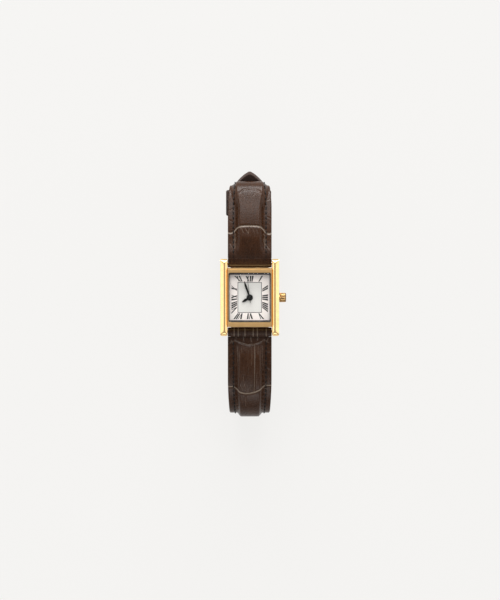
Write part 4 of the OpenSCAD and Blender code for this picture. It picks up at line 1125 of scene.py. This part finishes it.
def end_wall(side):
    """Wall of the case at one end of the dial, with eased edges."""
    middle = (WALL_IN + WALL_OUT) / 2
    half_y = (WALL_OUT - WALL_IN) / 2
    half_z = (WALL_TOP - BAR_LIFT) / 2
    ease = 0.15
    section = []
    for turn, (sy, sz) in enumerate(((1, 1), (-1, 1), (-1, -1), (1, -1))):
        for a in np.radians(90 * turn + np.linspace(0, 90, 6)):
            y = sy * (half_y - ease) + ease * cos(a)
            z = sz * (half_z - ease) + ease * sin(a)
            section.append((0, side * (middle + y), BAR_LIFT + half_z + z))
    ring = np.array(section)
    points = np.concatenate([ring + (x, 0, 0) for x in (-WALL_X, WALL_X)])
    return points * MM, tube_faces(2, len(ring))


def crown_shell():
    """Fluted crown with rounded corners, hollow where it goes over its tube."""
    bore_depth, ease, cap_r = 0.9, 0.04, 0.5
    round_l, round_r = 0.4, 0.45
    flute_points = 14
    flute_lift = 0.04
    # Stations along the crown: distance from its inner face, radius, and share of the flutes' depth
    bore = [(bore_depth, CROWN_BORE, 0), (ease, CROWN_BORE, 0), (0, CROWN_BORE + ease, 0)]
    rim = [(0, CROWN_R - 0.2, 0.3), (ease, CROWN_R - 0.07, 0.7), (0.15, CROWN_R, 1), (0.8, CROWN_R, 1)]
    corner = []
    for a in np.radians(np.linspace(0, 90, 9)):
        x = CROWN_L - round_l + round_l * sin(a)
        radius = CROWN_R - round_r + round_r * cos(a)
        corner.append((x, radius, cos(a) ** 2))
    steps = FLUTES * flute_points
    turn = np.linspace(0, 2 * pi, steps, endpoint=False)
    pitch = 2 * pi / FLUTES
    away = np.abs((turn + pitch / 2) % pitch - pitch / 2) * CROWN_R
    flute = np.maximum(np.sqrt(np.maximum(FLUTE_R ** 2 - away ** 2, 0)) - flute_lift, 0)
    rings = []
    for x, r, share in bore + rim + corner + [(CROWN_L, cap_r, 0)]:
        radius = r - share * flute
        y = radius * np.cos(turn)
        z = STEM_Z + radius * np.sin(turn)
        rings.append(np.stack([np.full(steps, CROWN_X + x), y, z], axis=-1))
    return np.concatenate(rings) * MM, tube_faces(len(rings), steps)


def joined(parts):
    """Several closed skins as one list of vertices and faces."""
    points, faces, first = [], [], 0
    for p, f in parts:
        points.append(p)
        faces += [tuple(first + v for v in face) for face in f]
        first += len(p)
    return np.concatenate(points), faces


def metal():
    """Polished metal pieces that the light catches along their edges."""
    gold = gold_finish()
    points, faces = joined([side_bar(-1), side_bar(1), end_wall(-1), end_wall(1)])
    case = new_piece("case_metal", points, faces, [gold], "watch", ["case_body"])
    turned_outward(case)
    points, faces = crown_shell()
    crown = new_piece("crown_metal", points, faces, [crown_painted_reflection_finish()], "crown", ["crown"])
    turned_outward(crown)
    eased("bezel_metal", "bezel", "watch", bezel_finish(), width=0.14)
    eased("buckle_metal", "buckle_frame", "buckle_frame", gold, width=0.1)


def floor_finish():
    """Pale paper; seen directly or in a reflection it keeps most of its own brightness under a shadow."""
    s = Shader("floor_paper", FLOOR_COLOUR, 0.9, Specular_IOR_Level=0.1)
    s.mottle(6, 4, 0.4, 0.7, 0.08, (240, 239, 237))
    path = s.node("LightPath")
    seen = s.maths("MAXIMUM", path.outputs["Is Camera Ray"], path.outputs["Is Glossy Ray"])
    seen = s.maths("MAXIMUM", seen, path.outputs["Is Transmission Ray"])
    glow = s.node("Emission", Color=linear(FLOOR_COLOUR))
    blend = s.node("MixShader")
    s.link(s.maths("MULTIPLY", seen, FLOOR_GLOW), blend.inputs["Fac"])
    s.link(s.bsdf.outputs["BSDF"], blend.inputs[1])
    s.link(glow.outputs["Emission"], blend.inputs[2])
    s.link(blend.outputs["Shader"], s.tree.nodes["Material Output"].inputs["Surface"])
    return s.material


def floor():
    """Wide pale table top just under the strap."""
    half = 4.0
    clearance = 0.02
    z = (TABLE_Z - clearance) * MM
    corners = [(-half, -half, z), (half, -half, z), (half, half, z), (-half, half, z)]
    mesh = bpy.data.meshes.new("table_top")
    mesh.from_pydata(corners, [], [(0, 1, 2, 3)])
    mesh.materials.append(floor_finish())
    table = new_object("table_top", mesh)


def area_light(name, place, size, power):
    """A soft rectangular lamp that looks at the dial."""
    data = bpy.data.lights.new(name, "AREA")
    data.shape = "RECTANGLE"
    data.size, data.size_y = size
    data.energy = power
    lamp = new_object(name, data)
    lamp.location = place
    lamp.rotation_mode = "QUATERNION"
    lamp.rotation_quaternion = (Vector((0, 0, 0)) - Vector(place)).to_track_quat("-Z", "Y")
    lamp.visible_camera = False


def light():
    """A bright horizon under a dimmer ceiling, darker towards six o'clock, and five soft lamps."""
    world = bpy.data.worlds.new("studio")
    bpy.context.scene.world = world
    world.use_nodes = True
    nodes, links = world.node_tree.nodes, world.node_tree.links
    back = nodes["Background"]
    back.inputs["Color"].default_value = (0.99, 0.99, 1.0, 1)
    way = nodes.new("ShaderNodeTexCoord")
    split = nodes.new("ShaderNodeSeparateXYZ")
    links.new(way.outputs["Generated"], split.inputs[0])
    both = nodes.new("ShaderNodeMath")
    both.operation = "MULTIPLY"
    upward = (HORIZON_UP_TO, ZENITH_FROM, HORIZON, ZENITH)
    backward = (FRONT_UP_TO, BACK_FROM, FRONT_SHARE, 1)
    ramps = (("Z", "SMOOTHSTEP", upward), ("Y", "LINEAR", backward))
    for place, (axis, kind, numbers) in enumerate(ramps):
        ramp = nodes.new("ShaderNodeMapRange")
        ramp.interpolation_type = kind
        for key, number in zip(("From Min", "From Max", "To Min", "To Max"), numbers):
            ramp.inputs[key].default_value = number
        links.new(split.outputs[axis], ramp.inputs["Value"])
        links.new(ramp.outputs["Result"], both.inputs[place])
    links.new(both.outputs[0], back.inputs["Strength"])
    for name, (place, size, power) in LAMPS.items():
        area_light(name, place, size, power)


def camera():
    """Straight above the dial, far enough away for the photograph's flat perspective."""
    data = bpy.data.cameras.new("camera")
    data.sensor_width = 36
    data.lens = data.sensor_width * VIEW_DISTANCE / VIEW_LENGTH
    data.clip_start = 0.1
    data.clip_end = 20
    cam = new_object("camera", data)
    cam.location = (VIEW_CENTRE[0] * MM, VIEW_CENTRE[1] * MM, (DIAL_TOP + VIEW_DISTANCE) * MM)
    bpy.context.scene.camera = cam


bpy.context.scene.view_settings.view_transform = "Standard"
camera()
floor()
light()
paint_nodes()
metal()
strap()
